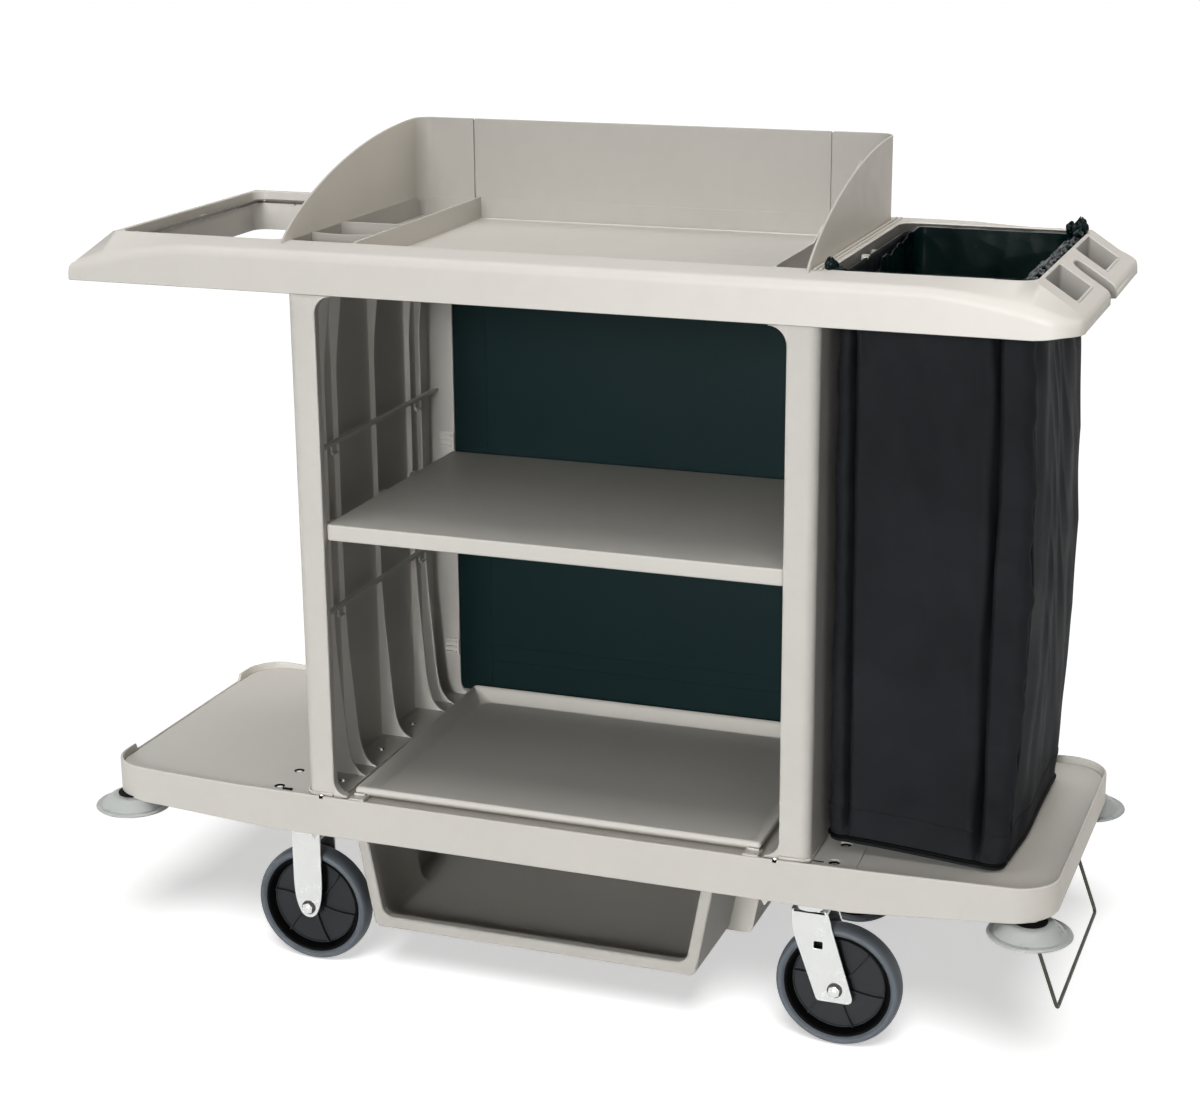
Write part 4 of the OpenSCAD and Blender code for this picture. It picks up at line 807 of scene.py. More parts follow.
class CART_OT_side_panels(bpy.types.Operator):
    """Side panels: a plan of post, wall and rear post drawn upwards, opening fillets, ribs and foot"""

    bl_idname = "cart.side_panels"
    bl_label = "Side panels"

    def execute(self, context):
        wall_in, post_in, rear_in = CAB_X - 3.5, CAB_X - 45, CAB_X - 49
        foot_in = wall_in - 55
        plan = rounded([[-CAB_X, POST_FRONT], [-post_in, POST_FRONT], [-post_in, POST_FRONT + 14],
                        [-post_in - 3.5, POST_FRONT + 14], [-post_in - 3.5, POST_FRONT + 4],
                        [-wall_in, POST_FRONT + 4], [-wall_in, PANEL_REAR - 4], [-rear_in, PANEL_REAR - 4],
                        [-rear_in, PANEL_REAR], [-CAB_X, PANEL_REAR]],
                       [16, 2.5, 1, 1, 1, 12, 2, 1, 1, 6], 6)
        for side, name in ((1, "left"), (-1, "right")):
            shape = Shape()
            shape.prism(plan, 2, DECK_Z, PANEL_TOP)
            quarter = np.linspace(0, math.pi / 2, 12)
            post, rear_post = (POST_FRONT, POST_FRONT + 14), (PANEL_REAR - 4, PANEL_REAR)
            for inner, (y0, y1) in ((-post_in, post), (-rear_in, rear_post)):
                for z, turn, radius in ((DECK_Z + 5, 1, 22), (PANEL_TOP - 10, -1, 26)):
                    bow = np.stack([inner + radius * (1 - np.cos(quarter)),
                                    z + turn * radius * (1 - np.sin(quarter))], 1)
                    end_z = DECK_Z if turn > 0 else PANEL_TOP
                    back = [[inner + radius, end_z], [inner - 1.5, end_z], [inner - 1.5, z + turn * radius]]
                    shape.prism(np.vstack([bow, back]), 1, y0 + 0.05, y1 - 0.05, edge=1.0)
            ribs = Shape()
            for y in RIB_PLACES:
                ribs.prism(rib_outline(-wall_in - 0.5), 1, y - 2, y + 2)
            ribs.mirrored(side)
            ribs.make(f"side_ribs_{name}", "cart_plastic")
            flange = round_rect(-CAB_X + 4, -foot_in, POST_FRONT + 14, PANEL_REAR - 3, 3)
            shape.prism(flange, 2, DECK_Z, DECK_Z + 4)
            shape.mirrored(side)
            shape.make(f"side_panel_{name}_moulding", "cart_plastic", replaces=f"side_panel_{name}")
            foot = Shape()
            lip_y, lip_end = POST_FRONT - 3, -200
            lip = [[-CAB_X - 3, lip_end], [-CAB_X - 3, lip_y], [-post_in - 1, lip_y],
                   [-post_in - 1, lip_y + 2.8], [-CAB_X - 0.2, lip_y + 2.8], [-CAB_X - 0.2, lip_end]]
            foot.prism(rounded(lip, [1, 17, 1, 1, 14.5, 1], 6), 2, DECK_Z + 1.5, DECK_Z + 8, edge=1.4)
            foot.mirrored(side)
            foot.make(f"post_foot_{name}", "cart_plastic")
        return {"FINISHED"}


class CART_OT_shelf_rails(bpy.types.Operator):
    """Shelf rails: three bars on each side with the tabs that clip them to the ribs"""

    bl_idname = "cart.shelf_rails"
    bl_label = "Shelf rails"

    def execute(self, context):
        shelf_low = corners("middle_shelf")[0][2]
        edge_x = CAB_X - 3.5 - 11
        for side, name in ((1, "left"), (-1, "right")):
            shape = Shape()
            for level in (-1, 0, 1):
                z = shelf_low + 128 * level
                shape.block((-edge_x, POST_FRONT + 4, z - 6), (-edge_x + 8, PANEL_REAR - 4, z))
                for y in (-165.0, 136.0):
                    shape.block((-edge_x, y + 8, z - 22), (-edge_x + 3, y + 24, z - 5))
                    shape.block((-edge_x, y + 8, z - 22), (-edge_x + 6, y + 24, z - 18))
            shape.mirrored(side)
            shape.make(f"shelf_rail_bars_{name}", "cart_plastic", replaces=f"shelf_rails_{name}")
        return {"FINISHED"}


# Top deck and hood


def end_drop(x, end_round):
    """Fall of the very ends of the top deck: a quarter circle of the end's radius."""
    past = np.clip(np.abs(x) - TOP_X + end_round, 0, end_round)
    return end_round - np.sqrt(end_round ** 2 - past ** 2)


def end_height(x, end_round):
    """Height of the top face over the lower edge: level, sloped at both ends and rounded over them."""
    rise = RIM_Z - TOP_Z
    left = END_H + (rise - END_H) * (x + TOP_X) / LEFT_SLOPE
    right = END_H + (rise - END_H) * (TOP_X - x) / HANDLE_SLOPE
    return np.minimum(rise, np.minimum(left, right)) - end_drop(x, end_round)


def shoulder_height(x, end_round):
    """Height of the front shoulder: just below the rim, falling away over the end zones."""
    rise, fall = RIM_Z - TOP_Z, 7.0
    past = np.clip(np.abs(x) - TOP_X + SHOULDER_RUN, 0, None) / SHOULDER_RUN
    return np.minimum(end_height(x, end_round), rise - fall - (rise - fall - END_H) * past ** 1.35)


def half_width(x):
    """Half width of the top deck in plan, with round corners at its ends."""
    r = np.where(x < 0, LEFT_R, HANDLE_R)
    past = np.clip(np.abs(x) - TOP_X + r, 0, r)
    return TOP_Y - r + np.sqrt(r ** 2 - past ** 2)


def rim_rear(x):
    """Where the rear side's strip ends: behind the tray in the middle, further in over the ends."""
    return RIM_FRONT + (RIM_REAR - RIM_FRONT) * (1 - smooth(np.abs(x), 470, 600))


def deck_side(x, inner, shoulder, end_round):
    """One side of the top deck over stations x: lower edge, upright face, shoulder and the rim to inner.

    The shoulder is the curve (w - s t^2, e - s (1-t)^2 + s k t^2), where w is the half width, s the reach,
    e the shoulder's height and k the slope of the rim."""
    w, top = half_width(x), end_height(x, end_round)
    edge = np.minimum(shoulder_height(x, end_round), top)
    lip = 5.0 * smooth(x, TOP_X - 60, TOP_X - 15)
    s = np.minimum(np.minimum(shoulder, w - inner - 0.5), edge - lip - 2)
    slope = (top - edge) / (w - inner)
    t = np.linspace(0, 1, 11)[:, None]
    y = np.vstack([[w - 0.7, w], w - s * t ** 2, [np.broadcast_to(inner, x.shape)]])
    z = np.vstack([[lip, lip + 0.9], edge - s * (1 - t) ** 2 + s * slope * t ** 2, [top]])
    return np.stack([np.broadcast_to(x, y.shape), y, TOP_Z + z], -1)


def lip_rings(shift, top, edge, low):
    """Rings of an opening with a round edge: on the face, widened by the edge, over it and down.

    shift(d) is the opening's line moved outwards by d, and top gives the face's height over a line."""
    turn = np.linspace(0, math.pi / 2, 5)
    lines = [(shift(edge * (1 - math.sin(a))), edge * (1 - math.cos(a))) for a in turn]
    rings = [place(line, 2, top(line) - fall) for line, fall in lines]
    return np.stack([*rings, place(lines[-1][0], 2, low)])


def wall_along(shape, line, outer, low, high, loop=True):
    """An upright wall between two plan lines, from low to high, closed in a ring or with plain ends."""
    section = [place(side, 2, z) for side, z in ((line, high), (line, low), (outer, low), (outer, high))]
    section = np.stack(section, 1)
    if loop:
        shape.part += 1
        shape.grid(np.concatenate([section, section[:1]]), loop=True)
    else:
        shape.loft(section)


def hole_box(rail):
    """Plan box of the opening round a bag rail."""
    (x0, y0, _), (x1, y1, _) = rail
    return x0 - RAIL_IN, x1 + RAIL_IN, y0 - RAIL_IN, y1 + RAIL_IN


def deck_stations(end_round):
    """Stations along x: close over the round ends and the falling shoulders, even in the middle."""
    round_over = TOP_X - end_round * (1 - np.sin(np.linspace(0, math.pi / 2, 7)))
    falling = np.linspace(TOP_X - SHOULDER_RUN, TOP_X - 60, 10)
    ends = []
    for radius, slope in ((LEFT_R, LEFT_SLOPE), (HANDLE_R, HANDLE_SLOPE)):
        corner = TOP_X - radius * (1 - np.cos(np.linspace(0, math.pi / 2, 9)))
        ends.append(np.unique(np.round(np.concatenate([corner, round_over, falling, [TOP_X - slope]]), 3)))
    return np.concatenate([-ends[0][::-1], np.linspace(-500, 500, 21), ends[1]])


class CART_OT_top_deck(bpy.types.Operator):
    """Top deck: two lofted sides, a rim with openings and a tray, sloped ends and a handle with pockets"""

    bl_idname = "cart.top_deck"
    bl_label = "Top deck"

    def execute(self, context):
        size = sizes()
        end_round, shoulder, edge = size["end_round"], size["shoulder"], size["edge"]
        shape = Shape()
        left_flat, right_flat = -TOP_X + LEFT_SLOPE, TOP_X - HANDLE_SLOPE
        stations = deck_stations(end_round)
        front = deck_side(stations, RIM_FRONT, shoulder, end_round) * [1, -1, 1]
        rear = deck_side(stations, rim_rear(stations), shoulder, end_round)
        shape.grid(front)
        shape.grid(rear)

        def face_z(plan):
            """Heights of the top face over plan points."""
            return TOP_Z + end_height(plan[:, 0], end_round)

        def band(x, y0, y1):
            """A strip of the top face between two lines along x."""
            plan = np.stack(np.meshgrid(x, np.array([y0, y1], float), indexing="ij"), -1)
            z = TOP_Z + end_height(plan[..., 0], end_round)
            shape.grid(np.concatenate([plan, z[..., None]], -1))

        # Level rim with two openings and the tray
        flat_x = stations[(stations >= left_flat - 0.01) & (stations <= right_flat + 0.01)]
        flat = np.vstack([along_x(flat_x, -RIM_FRONT), np.stack([flat_x, rim_rear(flat_x)], 1)[::-1]])
        beside = HOOD_T + 0.4
        pan = (HOOD_X0 + beside, HOOD_X1 - beside, -214.5, HOOD_REAR - beside)
        openings = [round_rect(*hole_box(RAIL_LEFT), HOLE_R, 8), round_rect(*hole_box(RAIL_RIGHT), HOLE_R, 8),
                    round_rect(*pan, 8, 5)]
        edges, lows = (edge, edge, 0.2), (PANEL_TOP, PANEL_TOP, PAN_Z + 5)
        rings = [lip_rings(lambda d, line=line: inset(line, -d), face_z, radius, low)
                 for line, radius, low in zip(openings, edges, lows)]
        shape.holed(flat, [ring[0][:, :2] for ring in rings], lambda plan: place(plan, 2, face_z(plan)))
        left_walls, right_walls, tray_walls, handle_walls = Shape(), Shape(), Shape(), Shape()
        sets = zip(rings, openings, (left_walls, right_walls, tray_walls), edges, lows)
        for ring, line, walls, radius, low in sets:
            shape.grid(ring[:-1], loop=True)
            wall_along(walls, line, inset(line, -WALL), low, RIM_Z - radius)
        pan_rings = np.stack([place(inset(openings[2], d), 2, PAN_Z + z)
                              for d, z in ((0, 5), (0.4, 3), (1.5, 1.4), (3, 0.4), (5, 0))])
        shape.grid(pan_rings, loop=True)
        shape.face(pan_rings[-1])

        # Left end: a plain slope, rounded over into the end wall
        band(stations[stations <= left_flat + 0.01], -RIM_FRONT, RIM_FRONT)
        shape.face(np.vstack([front[1:, 0], rear[1:, 0][::-1]]))

        # Handle end: a slope with two pockets and a notch, rounded over into the end walls
        over = TOP_X - end_round
        over_x = stations[stations >= over - 0.01]
        notch_x, half = right_flat + 12, 24.0
        bay = rounded([[over, half], [notch_x, half], [notch_x, -half], [over, -half]], [0.1, 16, 16, 0.1], 5)
        notch = np.vstack([along_x(over_x[::-1], half), bay[6:-6], along_x(over_x, -half)])
        out = path_side(notch)
        notch_rings = lip_rings(lambda d: notch - d * out, face_z, edge, TOP_Z + 5)
        shape.grid(notch_rings[:-1])
        wall_along(handle_walls, notch, notch - WALL * out, TOP_Z + 5, face_z(notch) - edge, loop=False)
        slope_x = stations[(stations >= right_flat - 0.01) & (stations <= over + 0.01)]
        cut_in = notch_rings[0][len(over_x) - 1:1 - len(over_x), :2]
        outline = np.vstack([along_x(slope_x, -RIM_FRONT), cut_in[::-1], along_x(slope_x, RIM_FRONT)[::-1]])
        pocket_edge = min(edge, 1.6)
        pockets = [lip_rings(lambda d, y=y: round_rect(677.5 - d, 720 + d, y - d, y + 116 + d, 4 + d, 5),
                             face_z, pocket_edge, TOP_Z + 2) for y in (-178.0, 62.0)]
        cuts = [pocket[0][:, :2] for pocket in pockets]
        shape.holed(outline, cuts, lambda plan: place(plan, 2, face_z(plan)))
        for pocket in pockets:
            shape.grid(pocket[:-1], loop=True)
            line = pocket[-1][:, :2]
            wall_along(handle_walls, line, inset(line, -WALL), TOP_Z + 2, face_z(line) - pocket_edge)
        for walls, name in ((tray_walls, "tray"), (left_walls, "left_opening"), (right_walls, "deck_opening"),
                            (handle_walls, "handle_opening")):
            walls.make(f"{name}_walls", "cart_plastic")
        band(over_x, -RIM_FRONT, -half - edge)
        band(over_x, half + edge, RIM_FRONT)
        shape.face(np.vstack([front[1:, -1], notch_rings[:, -1]]))
        shape.face(np.vstack([rear[1:, -1], notch_rings[:, 0]]))
        shape.make("top_deck_moulding", "cart_plastic", replaces="top_deck", wall=WALL, crease=32)
        ridges = Shape()
        for x in (381.0, 388.0):
            ridges.prism(rounded([[x - 2, RIM_Z], [x + 2, RIM_Z], [x + 2, RIM_Z + 3.2], [x - 2, RIM_Z + 3.2]],
                                 [0.1, 0.1, 1.8, 1.8], 4), 1, -226, 240, edge=1.5)
        ridges.make("hood_foot_ridges", "cart_plastic")
        return {"FINISHED"}


def hood_edge(y):
    """Top edge of the hood's sides: it rises from the front corner and levels off at the back."""
    t = (HOOD_REAR - y) / (HOOD_REAR - HOOD_FRONT)
    return RIM_Z + (HOOD_TOP - RIM_Z) * (1 - np.clip(t, 0, 1) ** 2) ** 0.8


def standing_sheet(shape, path, top):
    """A wall of the hood's thickness that stands on a plan path, with a round top edge.

    Its section runs up the outside, over a half circle and down the inside, at each point of the path."""
    ahead = np.gradient(path, axis=0)
    ahead /= np.linalg.norm(ahead, axis=1)[:, None]
    normal = np.stack([ahead[:, 1], -ahead[:, 0]], 1)
    half = HOOD_T / 2
    turn = np.linspace(0, math.pi, 7)
    across = np.concatenate([[half, half], half * np.cos(turn), [-half, -half]])
    foot = RIM_Z - 5
    body = np.clip(top - foot - half, 0.2, None)
    share = np.concatenate([[0, 0.5], np.ones(7), [0.5, 0]])
    extra = np.concatenate([[0, 0], half * np.sin(turn), [0, 0]])
    plan = path[:, None] + normal[:, None] * across[None, :, None]
    z = foot + body[:, None] * share[None] + extra[None]
    shape.loft(np.concatenate([plan, z[..., None]], -1))


class CART_OT_hood(bpy.types.Operator):
    """Hood: two wings that bend round the back corners, and the rear wall between their seams"""

    bl_idname = "cart.hood"
    bl_label = "Hood"

    def execute(self, context):
        seam, half = 1.5, HOOD_T / 2
        back_y = HOOD_REAR - half
        wings = (("left", 1, HOOD_X0, REAR_WALL_X0), ("right", -1, HOOD_X1, REAR_WALL_X1))
        for name, sign, edge_x, seam_x in wings:
            x = edge_x + sign * half
            bend = HOOD_R - half
            quarter = np.linspace(0, math.pi / 2, 12)
            corner = np.stack([x + sign * bend * (1 - np.cos(quarter)),
                               back_y - bend + bend * np.sin(quarter)], 1)
            side_y = HOOD_FRONT + 1 + (back_y - bend - HOOD_FRONT - 1) * np.linspace(0, 1, 50) ** 1.3
            side = np.stack([np.full(50, x), side_y], 1)
            back = along_x(np.linspace(corner[-1, 0], seam_x - sign * seam, 8), back_y)
            path = np.vstack([side[:-1], corner, back[1:]])
            shape = Shape()
            standing_sheet(shape, path, hood_edge(path[:, 1]))
            shape.make(f"hood_{name}_wing", "cart_plastic", replaces=f"hood_{name}", crease=50)
        shape = Shape()
        x = np.linspace(REAR_WALL_X0 + seam, REAR_WALL_X1 - seam, 24)
        standing_sheet(shape, along_x(x, back_y), np.full(24, HOOD_TOP))
        for x in (REAR_WALL_X0, REAR_WALL_X1):
            shape.block((x - 9, HOOD_REAR, RIM_Z), (x + 9, HOOD_REAR + 1.8, HOOD_TOP - 2), edge=0.6)
        shape.make("hood_rear_wall", "cart_plastic", replaces="hood_rear", crease=50)
        return {"FINISHED"}


class CART_OT_dividers(bpy.types.Operator):
    """Dividers of the top tray: two long ones, a cross wall and the bowed wall of the bottle cup"""

    bl_idname = "cart.dividers"
    bl_label = "Tray dividers"

    def execute(self, context):
        for name in ("divider_left", "cross_divider"):
            shape = Shape()
            shape.block(*corners(name))
            shape.make(f"{name}_wall", "cart_plastic", replaces=name)
        low, high = corners("divider_right")
        crest_y, low_z = -25, RIM_Z + 2
        outline = [[low[1], PAN_Z], [high[1], PAN_Z], [high[1], high[2]], [crest_y, low_z], [low[1], low_z]]
        shape = Shape()
        shape.prism(outline, 0, low[0], high[0])
        shape.make("divider_right_wall", "cart_plastic", replaces="divider_right")
        low, high = corners("cup_divider")
        middle = (low[0] + high[0]) / 2
        radius = 95.0
        reach = math.asin((high[0] - low[0]) / 2 / radius)
        angle = np.linspace(-reach, reach, 28)
        rings = [np.stack([middle + r * np.sin(angle), low[1] + radius - r * np.cos(angle)], 1)
                 for r in (radius, radius - 3.5)]
        shape = Shape()
        shape.prism(np.vstack([rings[0], rings[1][::-1]]), 2, PAN_Z, high[2])
        shape.make("cup_divider_wall", "cart_plastic", replaces="cup_divider")
        return {"FINISHED"}


# Bag and liner

FOLD_X, SEAM_X = 619.0, 434.0
FOOT_IN = 12.0


def around(box, radius, count):
    """Points at even steps round a box with round corners, from the middle of its left side, front first."""
    x0, x1, y0, y1 = box
    ring = round_rect(x0, x1, y0, y1, radius, 10)
    start = np.array([[x0, (y0 + y1) / 2]])
    return resample(np.vstack([start, ring, start]), count + 1)[:-1]


def ring_normals(ring):
    """Outward normals of rings[row, column] in plan."""
    along = np.roll(ring, -1, 1) - np.roll(ring, 1, 1)
    normal = np.stack([along[..., 1], -along[..., 0]], -1)
    return normal / np.linalg.norm(normal, axis=-1)[..., None]


def bell(x, middle, width):
    """A bell of height 1 and that half width."""
    return np.exp(-((x - middle) / width) ** 2)


def bag_plan(box, count):
    """Points round the bag's opening, and each one's angle of the way round.

    They are picked from a fine even ring, at even steps of a sum that grows faster where the folds are."""
    fine = 4000
    _, x1, y0, _ = box
    even = around(box, 20, fine)
    x, y = even.T
    on_front, on_right = y < y0 + 1, x > x1 - 21
    crowd = 1 + 6 * bell(x, FOLD_X + 3, 34) * on_front + 4 * bell(x, SEAM_X, 20) * on_front
    crowd += 5 * bell(y, y0 + 20, 26) * on_right
    picked = np.searchsorted(np.cumsum(crowd), np.linspace(0, crowd.sum(), count, endpoint=False))
    return even[picked], 2 * math.pi * picked[None] / fine


def bag_folds(x, y, v, normal, y1, depth):
    """How far the bag's folds stand out, at the height v from 0 at the foot to 1 at the hem.

    Each of the deep folds, two beside the front right corner and one by the front left edge, is a bell
    across a line that wanders with v. The cloth outside them is a puckered tube, and a pull slants down
    from the left top."""
    front, side = smooth(-normal[..., 1], 0.6, 0.95), smooth(normal[..., 0], 0.6, 0.95)
    fold_x = FOLD_X + 7 * np.sin(math.pi * v) + 4 * v + 2 * np.sin(9 * v + 1)
    fold_y = (24 - y1) * (1 - FOOT_IN / y1 * (1 - v))
    folds = -depth * (0.8 + 0.2 * np.sin(13 * v + 0.6)) * bell(x, fold_x, 4.6 + np.sin(21 * v)) * front
    folds -= 0.6 * depth * bell(y, fold_y, 6.0) * side
    folds -= 0.6 * depth * bell(x, SEAM_X - 3 * v, 4.5) * front
    tube = smooth(x - fold_x, 3, 11) * smooth(fold_y - y, 2, 10)
    edge = smooth(SEAM_X - x, 3, 10) * front
    pucker = np.sin(46 * v + 2.2 * np.sin(11 * v)) + 0.7 * np.sin(103 * v + 0.05 * x + 0.07 * y)
    pinch = 1 - 0.8 * bell(v, 0.56, 0.02) - 0.5 * bell(v, 0.33, 0.02)
    folds += tube * (7.0 * pinch + 2.2 * pucker - 2) + edge * (2.0 + 1.6 * pucker)
    folds += 3.0 * bell(x, fold_x - 16, 9) * front
    across = x - 420 - 150 * (1 - v)
    pull = bell(across, 0, 9) - 0.8 * bell(across, 16, 8)
    return folds + 7.0 * pull * front * smooth(v, 0.82, 0.97)


def bag_creases(u, v):
    """Soft waves and finer creases: sines of the angle u and the height v, bent by one another.

    Some are held by a bell to the foot or the hem."""
    creases = 2.0 * np.sin(7 * u + 1.3 * np.sin(3 * v)) + 1.4 * np.sin(13 * u - 2.0 * v + 1)
    creases *= 0.35 + 0.65 * v
    slack = 4 * np.sin(2 * u) + 2.2 * np.sin(5 * u + 3 * v)
    creases += 1.7 * np.sin(26 * v + slack) * bell(v, 0.1, 0.12)
    creases += 2.0 * np.sin(38 * v + 9 * np.sin(u + 0.5)) * bell(v, 0.93, 0.09)
    creases += 1.2 * np.sin(17 * v + 6 * np.sin(3 * u + 1)) * np.sin(5 * u + 6 * v)
    sharp = 1 - 2 * np.abs(np.sin(19 * v + 2.5 * np.sin(4 * u) + 8 * u))
    return creases + 0.9 * sharp * smooth(v, 0.1, 0.5)


class CART_OT_laundry_bag(bpy.types.Operator):
    """Laundry bag: a hanging loft with a swelling side, corner folds, creases and a lifted front foot"""

    bl_idname = "cart.laundry_bag"
    bl_label = "Laundry bag"

    def execute(self, context):
        size = sizes()
        (x0, _, foot), (_, y1, top) = corners("laundry_bag")
        x1 = RAIL_RIGHT[1][0] + RAIL_IN - 11.3
        middle_x = (x0 + x1) / 2
        v = np.linspace(0, 1, 126)[:, None]
        down = 1 - v
        base, u = bag_plan((x0, x1, -y1, y1), 380)
        ring = np.repeat(base[None], len(v), 0)
        swell = size["bag_swell"] * np.sin(math.pi * np.clip(v * 0.92 + 0.08, 0, 1)) ** 0.8
        near = smooth(-base[:, 1], 40, 190)
        ring[..., 0] += smooth(base[:, 0], middle_x, x1) * (20 * down * v + swell - 8 * near * down ** 1.5)
        ring[..., 1] *= 1 - FOOT_IN / y1 * down
        normal = ring_normals(ring)
        x, y = ring[..., 0], ring[..., 1]
        held = smooth(v, 0.0, 0.05) * smooth(down, 0.0, 0.04)
        relief = bag_folds(x, y, v, normal, y1, size["fold"]) + bag_creases(u, v)
        lift = size["bag_lift"] * smooth(-x, -650, -420) * smooth(-y, 60, 190)
        lift = lift + 1.5 * (1 + np.sin(4 * u + 0.4))
        z = foot + 0.3 + v * (top - foot - 0.3) + lift * (1 - smooth(v, 0.0, 0.35))
        body = np.concatenate([ring + normal * (relief * held)[..., None], z[..., None]], -1)
        shrink = np.array([0.985, 0.94, 0.8, 0.55, 0.25])[:, None, None]
        centre = np.array([middle_x, 0, foot + 1.2])
        floor = centre + (body[0] - centre) * shrink
        floor[..., 2] = foot + 1.0 + (body[0, :, 2] - foot - 0.6) * shrink[..., 0] ** 6
        shape = Shape()
        shape.grid(np.concatenate([floor[::-1], body]), loop=True)
        shape.face(floor[-1])
        bag = shape.make("laundry_bag_cloth", "bag_cloth", replaces=("laundry_bag", "bag_base"), wall=1.2,
                         crease=80)
        map_cloth(bag)
        piping = self.roll("laundry_bag_piping", body[8] + place(normal[8] * 0.9, 2, 0), 1.4)
        map_cloth(piping)
        # Painted shade: the hem's black stands for the shade along the bag's foot.
        hem = self.roll("laundry_bag_hem", body[1] + place(normal[1] * 1.5, 2, 0.4), 3.2, "black_recess")
        return {"FINISHED"}

    def roll(self, name, line, radius, look=None):
        """A round roll of cloth sewn on along a closed line."""
        shape = Shape()
        shape.tube(line, radius, 8, True)
        return shape.make(name, "bag_cloth", crease=80, look=look)


def map_cloth(piece):
    """A UV map in metres: along the plan angle and up, so that the weave follows the cloth."""
    mesh = piece.data
    layer = mesh.uv_layers.new(name="cloth")
    points = np.empty(len(mesh.vertices) * 3)
    mesh.vertices.foreach_get("co", points)
    loops = np.empty(len(mesh.loops), int)
    mesh.loops.foreach_get("vertex_index", loops)
    x, y, z = points.reshape(-1, 3)[loops].T
    normals = np.empty(len(mesh.vertices) * 3)
    mesh.vertices.foreach_get("normal", normals)
    nx, ny, nz = np.abs(normals.reshape(-1, 3)[loops].T)
    across = np.where(nx > ny, y, x)
    up = np.where(nz > 0.8, y, z)
    layer.data.foreach_set("uv", np.stack([across, up], 1).ravel())


def crumple(shape, centre, radii, turn):
    """A crumpled knot of film: an ellipsoid of radius 1 + 0.24 sin(3a+t) cos 2b + 0.16 sin(5a-2t+3b)."""
    a = np.linspace(0, 2 * math.pi, 36, endpoint=False)[None]
    b = np.linspace(-1.5, 1.5, 22)[:, None]
    r = 1 + 0.24 * np.sin(3 * a + turn) * np.cos(2 * b) + 0.16 * np.sin(5 * a - 2 * turn + 3 * b)
    ball = np.stack(np.broadcast_arrays(np.cos(b) * np.cos(a), np.cos(b) * np.sin(a), np.sin(b)), -1)
    shape.loft(np.asarray(centre) + ball * r[..., None] * np.asarray(radii))


